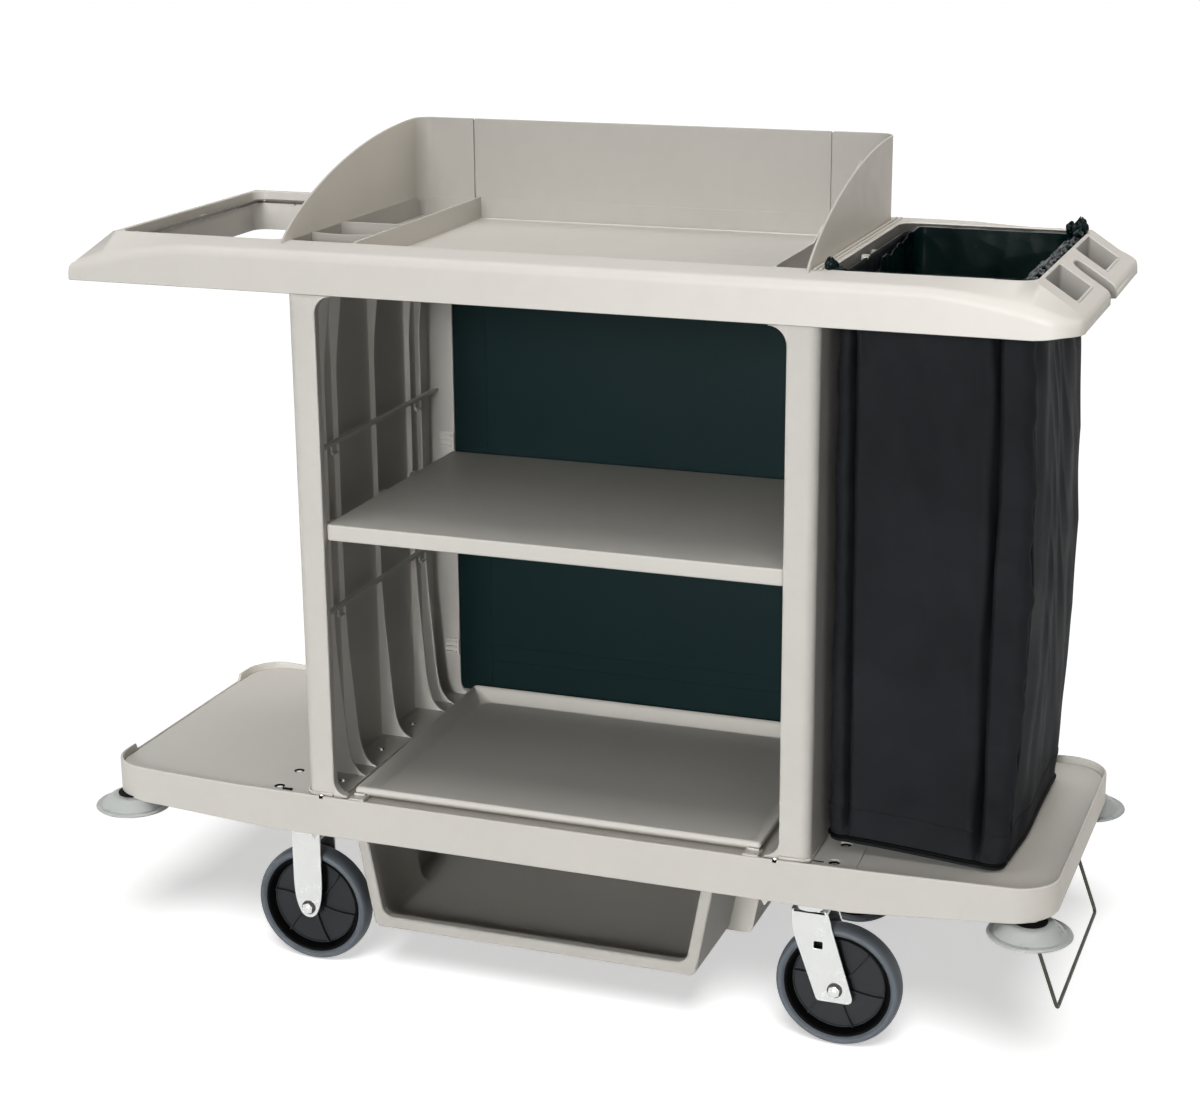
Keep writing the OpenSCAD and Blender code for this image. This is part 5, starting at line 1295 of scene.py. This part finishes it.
class CART_OT_bag_liner(bpy.types.Operator):
    """Bag liner: thin film that lines the bag, turns over its rim and bunches at two corners and one side"""

    bl_idname = "cart.bag_liner"
    bl_label = "Bag liner"

    def execute(self, context):
        loose = sizes()["crumple"]
        hx0, hx1, hy0, hy1 = hole_box(RAIL_RIGHT)
        foot = corners("bag_liner")[0][2] + sizes()["bag_lift"]
        count, gap = 420, 17.0
        ring = around((hx0 + gap, hx1 - gap, hy0 + gap, hy1 - gap), 24, count)
        out = ring_normals(ring[None])[0]
        y = ring[:, 1]
        u = np.linspace(0, 2 * math.pi, count, endpoint=False)
        front, left = smooth(-out[:, 1], 0.4, 0.95), smooth(-out[:, 0], 0.4, 0.95)
        right, rear = smooth(out[:, 0], 0.5, 0.95), smooth(out[:, 1], 0.4, 0.95)
        uneven = 0.5 * np.sin(5 * u + 0.8) + 0.4 * np.sin(13 * u + 2.1) + 0.25 * np.sin(29 * u + 0.3)
        zigzag = np.abs((y / 34) % 2 - 1)
        low = left * (32 - 18 * smooth(y, -8, 8) - 10 * smooth(y, 60, 190) + 7 * zigzag * smooth(y, 0, 30))
        top = RIM_Z - 3.5 - low - 8 * front + uneven * (0.3 + 0.12 * loose * (left + right))
        v = np.linspace(0, 1, 64)[:, None] ** 0.7
        wrinkle = 2.2 * np.sin(7 * u + 5 * v) + 1.3 * np.sin(17 * u - 7 * v + 1)
        wrinkle = (wrinkle + 0.9 * np.sin(37 * u + 11 * v)) * (1 - 0.8 * rear)
        depth = np.minimum(-3.2 + wrinkle * smooth(v, 0.02, 0.2) * (1 - 0.6 * smooth(v, 0.9, 1.0))
                           - 4 * np.sin(math.pi * v), 0.5)
        depth = depth - 34 * np.maximum(front, right) * (1 - smooth(v, 0.93, 0.975))
        body = ring + out * depth[..., None]
        body[..., 1] -= y / hy1 * 24 * (1 - v)
        film = np.concatenate([body, (foot + v * (top - foot))[..., None]], -1)
        s = np.array([0.2, 0.4, 0.6, 0.8, 0.92, 1.0])[:, None]
        free = (1 - front) * s
        reach = front * (gap + 4 + 1.6 * uneven) * s + (1.2 + 13 * np.maximum(right, rear)) * free
        rise = front * (RIM_Z + 0.9 - top) * np.sin(s * math.pi / 2) + 0.8 * np.sin(23 * u + 4 * s) * free
        rise = rise - right * (11 + 1.6 * np.sin(41 * u + 3 * s)) * free
        turned = film[-1] + np.concatenate([out * reach[..., None], rise[..., None]], -1)
        centre = np.array([(hx0 + hx1) / 2, 0, foot])
        floor = centre + (film[0] - centre) * np.array([0.3, 0.6, 0.9])[:, None, None]
        shape = Shape()
        shape.grid(np.concatenate([floor, film, turned]), loop=True)
        shape.face(floor[0])
        liner = shape.make("bag_liner_film", "liner_film", replaces="bag_liner", wall=0.5, crease=60)
        # Place, radii and turn of each knot: at the front left corner, along the right and at the rear right
        knots = [((hx0 + 3, hy0 + 5, RIM_Z + 5), (8, 8, loose), 0.4),
                 ((hx0 + 12, hy0 + 8, RIM_Z), (9, 5, 4), 2.0)]
        for k, place_y in enumerate(np.linspace(hy0 + 26, hy1 - 66, 7)):
            knots.append(((hx1 - 9 - 2 * (k % 2), place_y, RIM_Z - 8 + 1.5 * (k % 3)), (8, 34, 6), 1.7 * k))
        knots += [((hx1 - 14, hy1 - 16, RIM_Z + 4), (9, 11, 0.9 * loose), 1.1),
                  ((hx1 - 4, hy1 - 26, RIM_Z + 6), (6, 8, 1.2 * loose), 2.6),
                  ((hx1 - 12, hy1 - 4, RIM_Z + 6), (7, 6, 1.2 * loose), 4.2),
                  ((hx1 - 8, hy1 - 44, RIM_Z + 1), (7, 15, 0.6 * loose), 3.4),
                  ((hx1 - 24, hy1 - 8, RIM_Z + 3), (9, 6, 0.9 * loose), 0.9)]
        shape = Shape()
        for spot, radii, turn in knots:
            crumple(shape, spot, radii, turn)
        bunches = shape.make("bag_liner_bunches", "liner_film", crease=70)
        return {"FINISHED"}


# Casters, bumpers and bail

FORK_GAP, FORK_T, CROWN_Z = 22.5, 4.0, 208.0
AXLE_BORE = 6.2


def both_faces(face):
    """A turned profile given for one face, and mirrored for the other."""
    return face + [(radius, -height) for radius, height in face[::-1]]


def hexagon(x, y, radius, turn=0.0):
    """A bolt head's outline."""
    angle = np.linspace(0, 2 * math.pi, 6, endpoint=False) + turn
    return np.stack([x + radius * np.cos(angle), y + radius * np.sin(angle)], 1)


def hub_shape(centre):
    """A hub: a turned rim, deep web and boss, with six swept ribs on each face."""
    shape = Shape()
    rib, boss = 8.0, 20.0
    face = [(9.1, boss), (15, boss), (16.5, boss - 1.2), (17.5, 6), (19, 2.2), (66.5, 1.9), (67.2, 3.6),
            (68.2, 4.2), (69.2, 3.6), (69.6, 2.2)]
    shape.revolve(both_faces(face), centre, 1, 96)
    r = np.linspace(16, 69, 14)
    for k in range(6):
        turn = math.radians(60 * k + 43) + 0.12 * ((r - 16) / 53) ** 1.5
        line = np.stack([r * np.cos(turn), r * np.sin(turn)], 1)
        normal = path_side(line)
        outline = np.vstack([line + normal, (line - normal)[::-1]])
        shape.prism(outline + [centre[0], centre[2]], 1, centre[1] - rib, centre[1] + rib, edge=0.5)
    return shape


def rim_shape(centre):
    """A hub's rim: a turned ring from the web out over the tyre's bead, black as painted shade inside the deep
    hub.
    """
    shape = Shape()
    face = [(69.5, 2.0), (74.2, 12.6), (75.6, 14.6), (77.6, 15.2), (79.0, 15.0), (79.4, 14.0), (79.0, 12.6),
            (76.9, 11.5)]
    shape.revolve(both_faces(face), centre, 1, 96)
    return shape


def path_side(line):
    """Unit normals of an open line in a plane."""
    ahead = np.gradient(line, axis=0)
    normal = np.stack([-ahead[:, 1], ahead[:, 0]], 1)
    return normal / np.linalg.norm(normal, axis=1)[:, None]


def tyre_shape(centre):
    """A tyre: a turned ring with a flat-domed tread, widest below it and drawn in towards the hub's rim."""
    shape = Shape()
    inner, tread, half = 77.0, 93.0, 18.0
    turn = np.linspace(0, math.pi / 2, 12)
    crown = np.stack([tread - 9 * (1 - np.sin(turn) ** 0.7), half * np.cos(turn) ** 0.75], 1)
    flank = np.array([[inner, 12.2], [inner + 1.2, 12.6], [inner + 3.4, 14.6], [inner + 5.2, 17.0]])
    side = np.vstack([flank, crown])
    shape.revolve(np.vstack([side, side[:-1][::-1] * [1, -1]]), centre, 1, 96)
    return shape


def bolt_shape(centre, out):
    """An axle bolt: its shank, and a hexagon and a domed end on each side."""
    shape = Shape()
    x, y, z = centre
    shape.revolve([(0.01, -out - 3), (6, -out - 3), (6, out + 3), (0.01, out + 3)], centre, 1, 24)
    for side in (-1, 1):
        low, high = sorted((y + side * (out + 1.2), y + side * (out + 6.6)))
        shape.prism(hexagon(x, z, 9.4, 0.35), 1, low, high)
        dome = [(0.01, 6.4), (5.4, 6.4), (5.4, 7.3), (4.2, 8.0), (0.01, 8.0)]
        shape.revolve([(radius, side * (out + height)) for radius, height in dome], centre, 1, 24)
    return shape


def washer_shape(centre, out):
    """The washers under an axle bolt's two hexagons, dark as painted shade round the hexagons."""
    shape = Shape()
    for side in (-1, 1):
        inner, outer = side * out, side * (out + 1.4)
        shape.revolve([(6.1, inner), (11.2, inner), (11.2, outer), (6.1, outer)], centre, 1, 40)
    return shape


def fork_legs(shape, outline, y, holes):
    """Both legs of a fork, with the same outline in x and z."""
    for low in (y - FORK_GAP - FORK_T, y + FORK_GAP):
        shape.prism(outline, 1, low, low + FORK_T, holes=holes)


class CART_OT_casters(bpy.types.Operator):
    """Casters: rigid and swivel forks of bent sheet, hubs with swept ribs, tyres and axle bolts"""

    bl_idname = "cart.casters"
    bl_label = "Casters"

    def execute(self, context):
        self.nuts()
        for end in ("front", "rear"):
            self.rigid_fork(end)
            self.wheel("rigid", end, "cart")
            self.swivel_fork(end)
            self.wheel("swivel", end, f"swivel_fork_{end}")
        return {"FINISHED"}

    def nuts(self):
        """A nut and the end of its bolt at each corner of the plates."""
        shape = Shape()
        for place_x, place_y, _ in (JOINTS[name] for name in CASTERS):
            for x in (place_x - 37, place_x + 37):
                for y in (place_y - 33, place_y + 33):
                    shape.prism(hexagon(x, y, 7.5), 2, PLATE_Z - 6.5, PLATE_Z - 0.1)
                    stud = [(0.01, -9), (3.6, -9), (4, -8.4), (4, -5), (0.01, -5)]
                    shape.revolve(stud, (x, y, PLATE_Z), 2, 20)
        shape.make("caster_nuts", "zinc_steel")

    def rigid_fork(self, end):
        """A fork fixed under its plate, with straight legs that taper to the axle."""
        x, y, z = JOINTS[f"rigid_{end}_roll"]
        leg = rounded([[x - 24, PLATE_Z + 1], [x - 24, z + 24], [x - 17.5, z - 2], [x - 9, z - 17],
                       [x + 9, z - 17], [x + 17.5, z - 2], [x + 24, z + 24], [x + 24, PLATE_Z + 1]],
                      [1, 24, 9, 9, 9, 9, 24, 1], 5)
        shape = Shape()
        fork_legs(shape, leg, y, [circle(x, z, AXLE_BORE)])
        half = FORK_GAP + FORK_T - 0.5
        shape.prism(round_rect(x - 23, x + 23, y - half, y + half, 3), 2, CROWN_Z, CROWN_Z + 5)
        shape.prism(round_rect(x - 20, x + 20, y - half, y + half, 5), 2, CROWN_Z + 4.5, PLATE_Z + 0.5)
        plate = round_rect(x - PLATE_X, x + PLATE_X, y - PLATE_Y, y + PLATE_Y, 8)
        shape.prism(plate, 2, PLATE_Z, PLATE_Z + 3.8)
        shape.make(f"rigid_fork_{end}_sheet", "zinc_steel", replaces=f"rigid_fork_{end}")

    def swivel_fork(self, end):
        """A fork that turns under its plate, with legs that slant to the axle behind its pin."""
        x, y, _ = JOINTS[f"swivel_{end}_turn"]
        axle_x, _, z = JOINTS[f"swivel_{end}_roll"]
        way = 1 if axle_x > x else -1
        leg = rounded([[x - 26 * way, CROWN_Z + 5], [x - 26 * way, z + 89], [x + 13 * way, z - 20],
                       [x + 62 * way, z - 20], [x + 67 * way, z - 13], [x + 26 * way, CROWN_Z + 5]],
                      [3, 14, 4, 6, 6, 3], 5)
        slot_x = x + 14 * way
        slot = round_rect(slot_x - 6.5, slot_x + 6.5, z + 62, z + 73, 1.5, 3)
        shape = Shape()
        fork_legs(shape, leg, y, [circle(axle_x, z, AXLE_BORE), slot])
        half = FORK_GAP + FORK_T
        shape.prism(round_rect(x - 27, x + 27, y - half, y + half, 4), 2, CROWN_Z, CROWN_Z + 5)
        race = [(7.1, 4.9), (30, 4.9), (31, 7), (31, 14), (33.5, 16), (33.5, 18), (31, 18.8), (7.1, 18.8)]
        shape.revolve(race, (x, y, CROWN_Z), 2, 64)
        shape.make(f"swivel_fork_{end}_sheet", "zinc_steel", body=f"swivel_fork_{end}",
                   replaces=f"swivel_fork_{end}")

    def wheel(self, kind, end, carrier):
        """The bolt and washers that the fork carries, and the hub, rim and tyre that turn on them."""
        axle, body = JOINTS[f"{kind}_{end}_roll"], f"{kind}_wheel_{end}"
        out = FORK_GAP + FORK_T
        bolt_shape(axle, out).make(f"{kind}_axle_{end}_bolt", "zinc_steel", body=carrier,
                                   replaces=f"{kind}_axle_{end}")
        # Painted shade: the washers' dull dark finish draws the shade round the bolt's hexagons.
        washer_shape(axle, out).make(f"{kind}_washers_{end}", "bail_wire", body=carrier)
        hub_shape(axle).make(f"{kind}_hub_{end}_moulding", "hub_plastic", body=body,
                             replaces=f"{kind}_hub_{end}")
        # Painted shade: the rim's black stands for the shade inside the deep hub.
        rim_shape(axle).make(f"{kind}_rim_{end}", "hub_plastic", body=body, look="black_recess")
        tyre_shape(axle).make(f"{kind}_tyre_{end}_ring", "tyre", body=body, replaces=f"{kind}_tyre_{end}",
                              crease=50)


class CART_OT_bumpers(bpy.types.Operator):
    """Corner bumpers: turned saucers with a dome and a neck, and black discs over them, painted shade in the gap
    under the base
    """

    bl_idname = "cart.bumpers"
    bl_label = "Bumpers"

    def execute(self, context):
        shade_discs = Shape()
        for end in ("front", "rear"):
            for side in ("left", "right"):
                low, high = corners(f"bumper_{end}_{side}")
                x, y = (low[:2] + high[:2]) / 2
                z, r = low[2] + 2, (high[0] - low[0]) / 2 + 2
                dome = np.linspace(0, 1, 9)
                cap = np.stack([r - 10 - 20 * dome, 7.2 + 14 * np.sin(dome * math.pi / 2) ** 1.15], 1)
                brim = [(5.3, 0), (r - 15, 0), (r - 6, 0.3), (r - 2, 1.4), (r, 3.4), (r - 0.6, 5.2),
                        (r - 2.4, 6.2), (r - 5, 6.5), (r - 8.6, 5.9), (r - 9.6, 6.3)]
                neck = [(9, 21.8), (8, 22.2), (8, high[2] - z), (5.3, high[2] - z)]
                profile = np.vstack([brim, cap, neck])
                shape = Shape()
                shape.revolve(profile, (x, y, z), 2, 96)
                shape.make(f"bumper_{end}_{side}_saucer", "bumper_plastic", body=f"bumper_{end}_{side}",
                           replaces=f"bumper_{end}_{side}", crease=55)
                # Painted shade: a thin black disc over each dome, for the shade in the gap under the base.
                shade_discs.revolve([(8.4, 22.3), (24, 22.3), (24, 24.2), (8.4, 24.2)], (x, y, z), 2, 64)
        shade_discs.make("bumper_seals", "hub_plastic", look="black_recess")
        return {"FINISHED"}


class CART_OT_wire_bail(bpy.types.Operator):
    """Wire bail: one bent wire from bracket to bracket, with small bend radii"""

    bl_idname = "cart.wire_bail"
    bl_label = "Wire bail"

    def execute(self, context):
        pivot = JOINTS["bail_swing"]
        (_, _, low_z), (high_x, high_y, _) = corners("wire_bail")
        half, wire, end = 170.0, 2.75, high_y - 0.2
        bar_x, bar_z = high_x - wire, low_z + wire
        bend = 9.0
        turns = np.array([[pivot[0], end, pivot[2]], [pivot[0], half, pivot[2]], [bar_x, half, bar_z],
                          [bar_x, -half, bar_z], [pivot[0], -half, pivot[2]], [pivot[0], -end, pivot[2]]])
        path = [turns[:1]]
        t = np.linspace(0, 1, 7)[:, None]
        for before, corner, after in zip(turns[:-2], turns[1:-1], turns[2:]):
            a = corner + (before - corner) / np.linalg.norm(before - corner) * bend
            b = corner + (after - corner) / np.linalg.norm(after - corner) * bend
            path.append((1 - t) ** 2 * a + 2 * t * (1 - t) * corner + t ** 2 * b)
        path.append(turns[-1:])
        shape = Shape()
        shape.tube(np.vstack(path), wire, 12)
        shape.make("wire_bail_bent", "bail_wire", body="bail", replaces="wire_bail", crease=60)
        return {"FINISHED"}


class CART_OT_kept_parts(bpy.types.Operator):
    """Finishes of the CAD parts whose shape is right, with their edges lightly rounded"""

    bl_idname = "cart.kept_parts"
    bl_label = "Kept parts"

    def execute(self, context):
        slots = {part["node"]: part["material_slot"] for part in frame["record"]["subparts"]}
        for name, node in frame["nodes"].items():
            if node.hide_render:
                continue
            node.data.materials.clear()
            node.data.materials.append(finish(slots[name]))
            weld = node.modifiers.new("weld", "WELD")
            weld.merge_threshold = 0.01 * MM
            round_edges(node, 0.6, 2)
        return {"FINISHED"}


# Stage

CAMERA_PLACE = (1.2044, -3.2832, 1.7001)
CAMERA_YAW, CAMERA_PITCH, CAMERA_ROLL = 20.29, -16.67, -0.43
CAMERA_LENS, SENSOR = 71.94, 36.0
WARM = (1.0, 0.93, 0.83)


def seen_directly(tree):
    """1 for rays that show a surface to the camera, straight, mirrored or through glass."""
    path = tree.nodes.new("ShaderNodeLightPath").outputs
    plain = joined(tree, path["Is Camera Ray"], path["Is Glossy Ray"], "MAXIMUM")
    return joined(tree, plain, path["Is Transmission Ray"], "MAXIMUM")


class CART_OT_stage(bpy.types.Operator):
    """Stage: a pale floor, a white surround, lamps that each light some of the pieces, and the camera"""

    bl_idname = "cart.stage"
    bl_label = "Stage"

    def execute(self, context):
        size = sizes()
        scene = context.scene
        scene.view_settings.view_transform = "Standard"
        floor = self.floor(scene)
        self.world(scene, size["sky_light"])
        items = [item for item in scene.objects if item.type == "MESH" and item is not floor]

        def named(name, *starts):
            """A collection of the pieces whose names start so."""
            return self.group(name, [item for item in items if item.name.startswith(starts)])

        def others(name, *starts):
            """A collection of the pieces whose names don't start so."""
            return self.group(name, [item for item in items if not item.name.startswith(starts)])

        boards = ("middle_shelf", "bottom_tray")
        above = named("lit_above", "hood", "top_deck", "tray_walls")
        sided = named("lit_side", "hood", "top_deck", "base_deck", "divider_left", "left_opening")
        ribs = named("lit_ribs", "side_ribs", "shelf_rail", "panel_clips")
        flat = named("lit_boards", *boards)
        facing = others("lit_front", "deck_opening", "handle_opening", *boards)
        below = others("lit_below", "hood", "deck_opening", "tray_walls", "cross_div", "cup_div", *boards)
        shelf = named("shelf", "middle_shelf")
        low = named("low_parts", "base", "rigid", "swivel", "bumper", "under_bin")
        front = (0.0, -0.975, 0.20)
        self.lamp(scene, "key", front, size["key_light"] * 0.48, 18, facing)
        self.lamp(scene, "lower_key", front, size["key_light"] * 0.52, 18, below)
        self.lamp(scene, "top", (-0.10, 0.05, 1.0), size["top_light"], 50, self.group("lit_cart", items))
        self.lamp(scene, "side", (0.85, 0.35, 0.40), size["side_light"], 50, sided, WARM)
        self.lamp(scene, "ribs", front, size["rib_light"], 18, ribs, blockers=shelf)
        self.lamp(scene, "board_faces", (0.0, -1.0, 0.06), size["key_light"] * 0.82, 6, flat)
        self.lamp(scene, "board_tops", (0.0, -0.57, 0.82), size["shelf_light"], 60, flat)
        ground = self.group("lit_floor", [floor])
        self.lamp(scene, "ground", (0.16, -0.60, 0.80), size["floor_light"], 26, ground, blockers=low)
        self.soft_box(scene, Vector((0.70, -1.0, 1.15)), size["end_light"], above)
        self.camera(scene)
        return {"FINISHED"}

    def group(self, name, items):
        """A collection of objects for a lamp."""
        collection = bpy.data.collections.new(name)
        for item in items:
            collection.objects.link(item)
        return collection

    def floor(self, scene):
        """A wide pale disc, a little brighter where the camera sees it."""
        reach, sides, low = 14.0, 96, -0.0005
        angle = np.linspace(0, 2 * math.pi, sides, endpoint=False)
        ring = np.stack([reach * np.cos(angle), reach * np.sin(angle), np.full(sides, low)], 1)
        mesh = bpy.data.meshes.new("floor")
        mesh.from_pydata(ring, [], [list(range(sides))])
        floor = bpy.data.objects.new("floor", mesh)
        scene.collection.objects.link(floor)
        material = bpy.data.materials.new("pale_floor")
        material.use_nodes = True
        tree = material.node_tree
        nodes, links = tree.nodes, tree.links
        shader = nodes["Principled BSDF"]
        seen = seen_directly(tree)
        links.new(span(tree, seen, 0, 1, 0.40, 0.80), shader.inputs["Base Color"])
        shader.inputs["Roughness"].default_value = 0.9
        shader.inputs["Specular IOR Level"].default_value = 0.0
        glow = nodes.new("ShaderNodeEmission")
        glow.inputs["Color"].default_value = (1, 0.995, 1, 1)
        links.new(joined(tree, seen, 0.56), glow.inputs["Strength"])
        both = nodes.new("ShaderNodeAddShader")
        links.new(shader.outputs[0], both.inputs[0])
        links.new(glow.outputs[0], both.inputs[1])
        links.new(both.outputs[0], nodes["Material Output"].inputs["Surface"])
        mesh.materials.append(material)
        return floor

    def world(self, scene, strength):
        """Even light all round, white where the camera sees it."""
        world = bpy.data.worlds.new("white_surround")
        scene.world = world
        world.use_nodes = True
        nodes, links = world.node_tree.nodes, world.node_tree.links
        nodes.clear()
        mix = nodes.new("ShaderNodeMixShader")
        links.new(seen_directly(world.node_tree), mix.inputs[0])
        for socket, colour, power in ((mix.inputs[1], WARM, strength), (mix.inputs[2], (1, 1, 1), 1.0)):
            light = nodes.new("ShaderNodeBackground")
            light.inputs["Color"].default_value = (*colour, 1)
            light.inputs["Strength"].default_value = power
            links.new(light.outputs[0], socket)
        output = nodes.new("ShaderNodeOutputWorld")
        links.new(mix.outputs[0], output.inputs["Surface"])

    def soft_box(self, scene, spot, power, receivers):
        """A small square lamp in front of the top deck's handle end, out of the camera's sight."""
        data = bpy.data.lights.new("end", "AREA")
        data.size = 0.6
        data.energy = power
        lamp = bpy.data.objects.new("end", data)
        lamp.location = spot
        lamp.rotation_euler = Vector((0, -1, 0)).to_track_quat("Z", "Y").to_euler()
        lamp.visible_camera = False
        lamp.light_linking.receiver_collection = receivers
        scene.collection.objects.link(lamp)

    def lamp(self, scene, name, towards, strength, angle, receivers, colour=(1, 1, 1), blockers=None):
        """A wide sun lamp from a direction, on a collection's objects. Blockers, if given, alone shade it."""
        data = bpy.data.lights.new(name, "SUN")
        data.color = colour
        data.energy = strength
        data.angle = math.radians(angle)
        lamp = bpy.data.objects.new(name, data)
        lamp.rotation_euler = Vector(towards).to_track_quat("Z", "Y").to_euler()
        scene.collection.objects.link(lamp)
        lamp.light_linking.receiver_collection = receivers
        if blockers:
            lamp.light_linking.blocker_collection = blockers

    def camera(self, scene):
        """The camera at the photographed angle."""
        yaw, pitch, roll = (math.radians(a) for a in (CAMERA_YAW, CAMERA_PITCH, CAMERA_ROLL))
        ahead = np.array([-math.sin(yaw) * math.cos(pitch), math.cos(yaw) * math.cos(pitch), math.sin(pitch)])
        level = np.array([math.cos(yaw), math.sin(yaw), 0])
        upright = np.cross(level, ahead)
        right = level * math.cos(roll) + upright * math.sin(roll)
        up = upright * math.cos(roll) - level * math.sin(roll)
        data = bpy.data.cameras.new("camera")
        data.lens = CAMERA_LENS
        data.sensor_width = SENSOR
        camera = bpy.data.objects.new("camera", data)
        turn = np.stack([right, up, -ahead], 1)
        camera.matrix_world = Matrix.Translation(CAMERA_PLACE) @ Matrix(turn.tolist()).to_4x4()
        scene.collection.objects.link(camera)
        scene.camera = camera


PIECES = (CART_OT_base_deck, CART_OT_bottom_tray, CART_OT_under_bin, CART_OT_middle_shelf,
          CART_OT_side_panels, CART_OT_shelf_rails, CART_OT_top_deck, CART_OT_hood, CART_OT_dividers,
          CART_OT_laundry_bag, CART_OT_bag_liner, CART_OT_casters, CART_OT_bumpers, CART_OT_wire_bail,
          CART_OT_kept_parts, CART_OT_stage)


class CART_PT_panel(bpy.types.Panel):
    """The cart's sizes, colours and pieces in the 3D view's sidebar"""

    bl_label = "Housekeeping cart"
    bl_space_type = "VIEW_3D"
    bl_region_type = "UI"
    bl_category = "Cart"

    def draw(self, context):
        for group in (context.scene.cart_sizes, context.scene.cart_finish):
            box = self.layout.box()
            for name in type(group).__annotations__:
                box.prop(group, name)
        for piece in PIECES:
            self.layout.operator(piece.bl_idname)


CLASSES = (CartFinish, CartSizes, *PIECES, CART_PT_panel)


def register():
    for item in CLASSES:
        bpy.utils.register_class(item)
    bpy.types.Scene.cart_finish = PointerProperty(type=CartFinish)
    bpy.types.Scene.cart_sizes = PointerProperty(type=CartSizes)


def unregister():
    del bpy.types.Scene.cart_sizes
    del bpy.types.Scene.cart_finish
    for item in reversed(CLASSES):
        bpy.utils.unregister_class(item)


def main():
    """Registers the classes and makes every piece."""
    register()
    for piece in PIECES:
        group, name = piece.bl_idname.split(".")
        getattr(getattr(bpy.ops, group), name)()


if __name__ == "__main__":
    main()
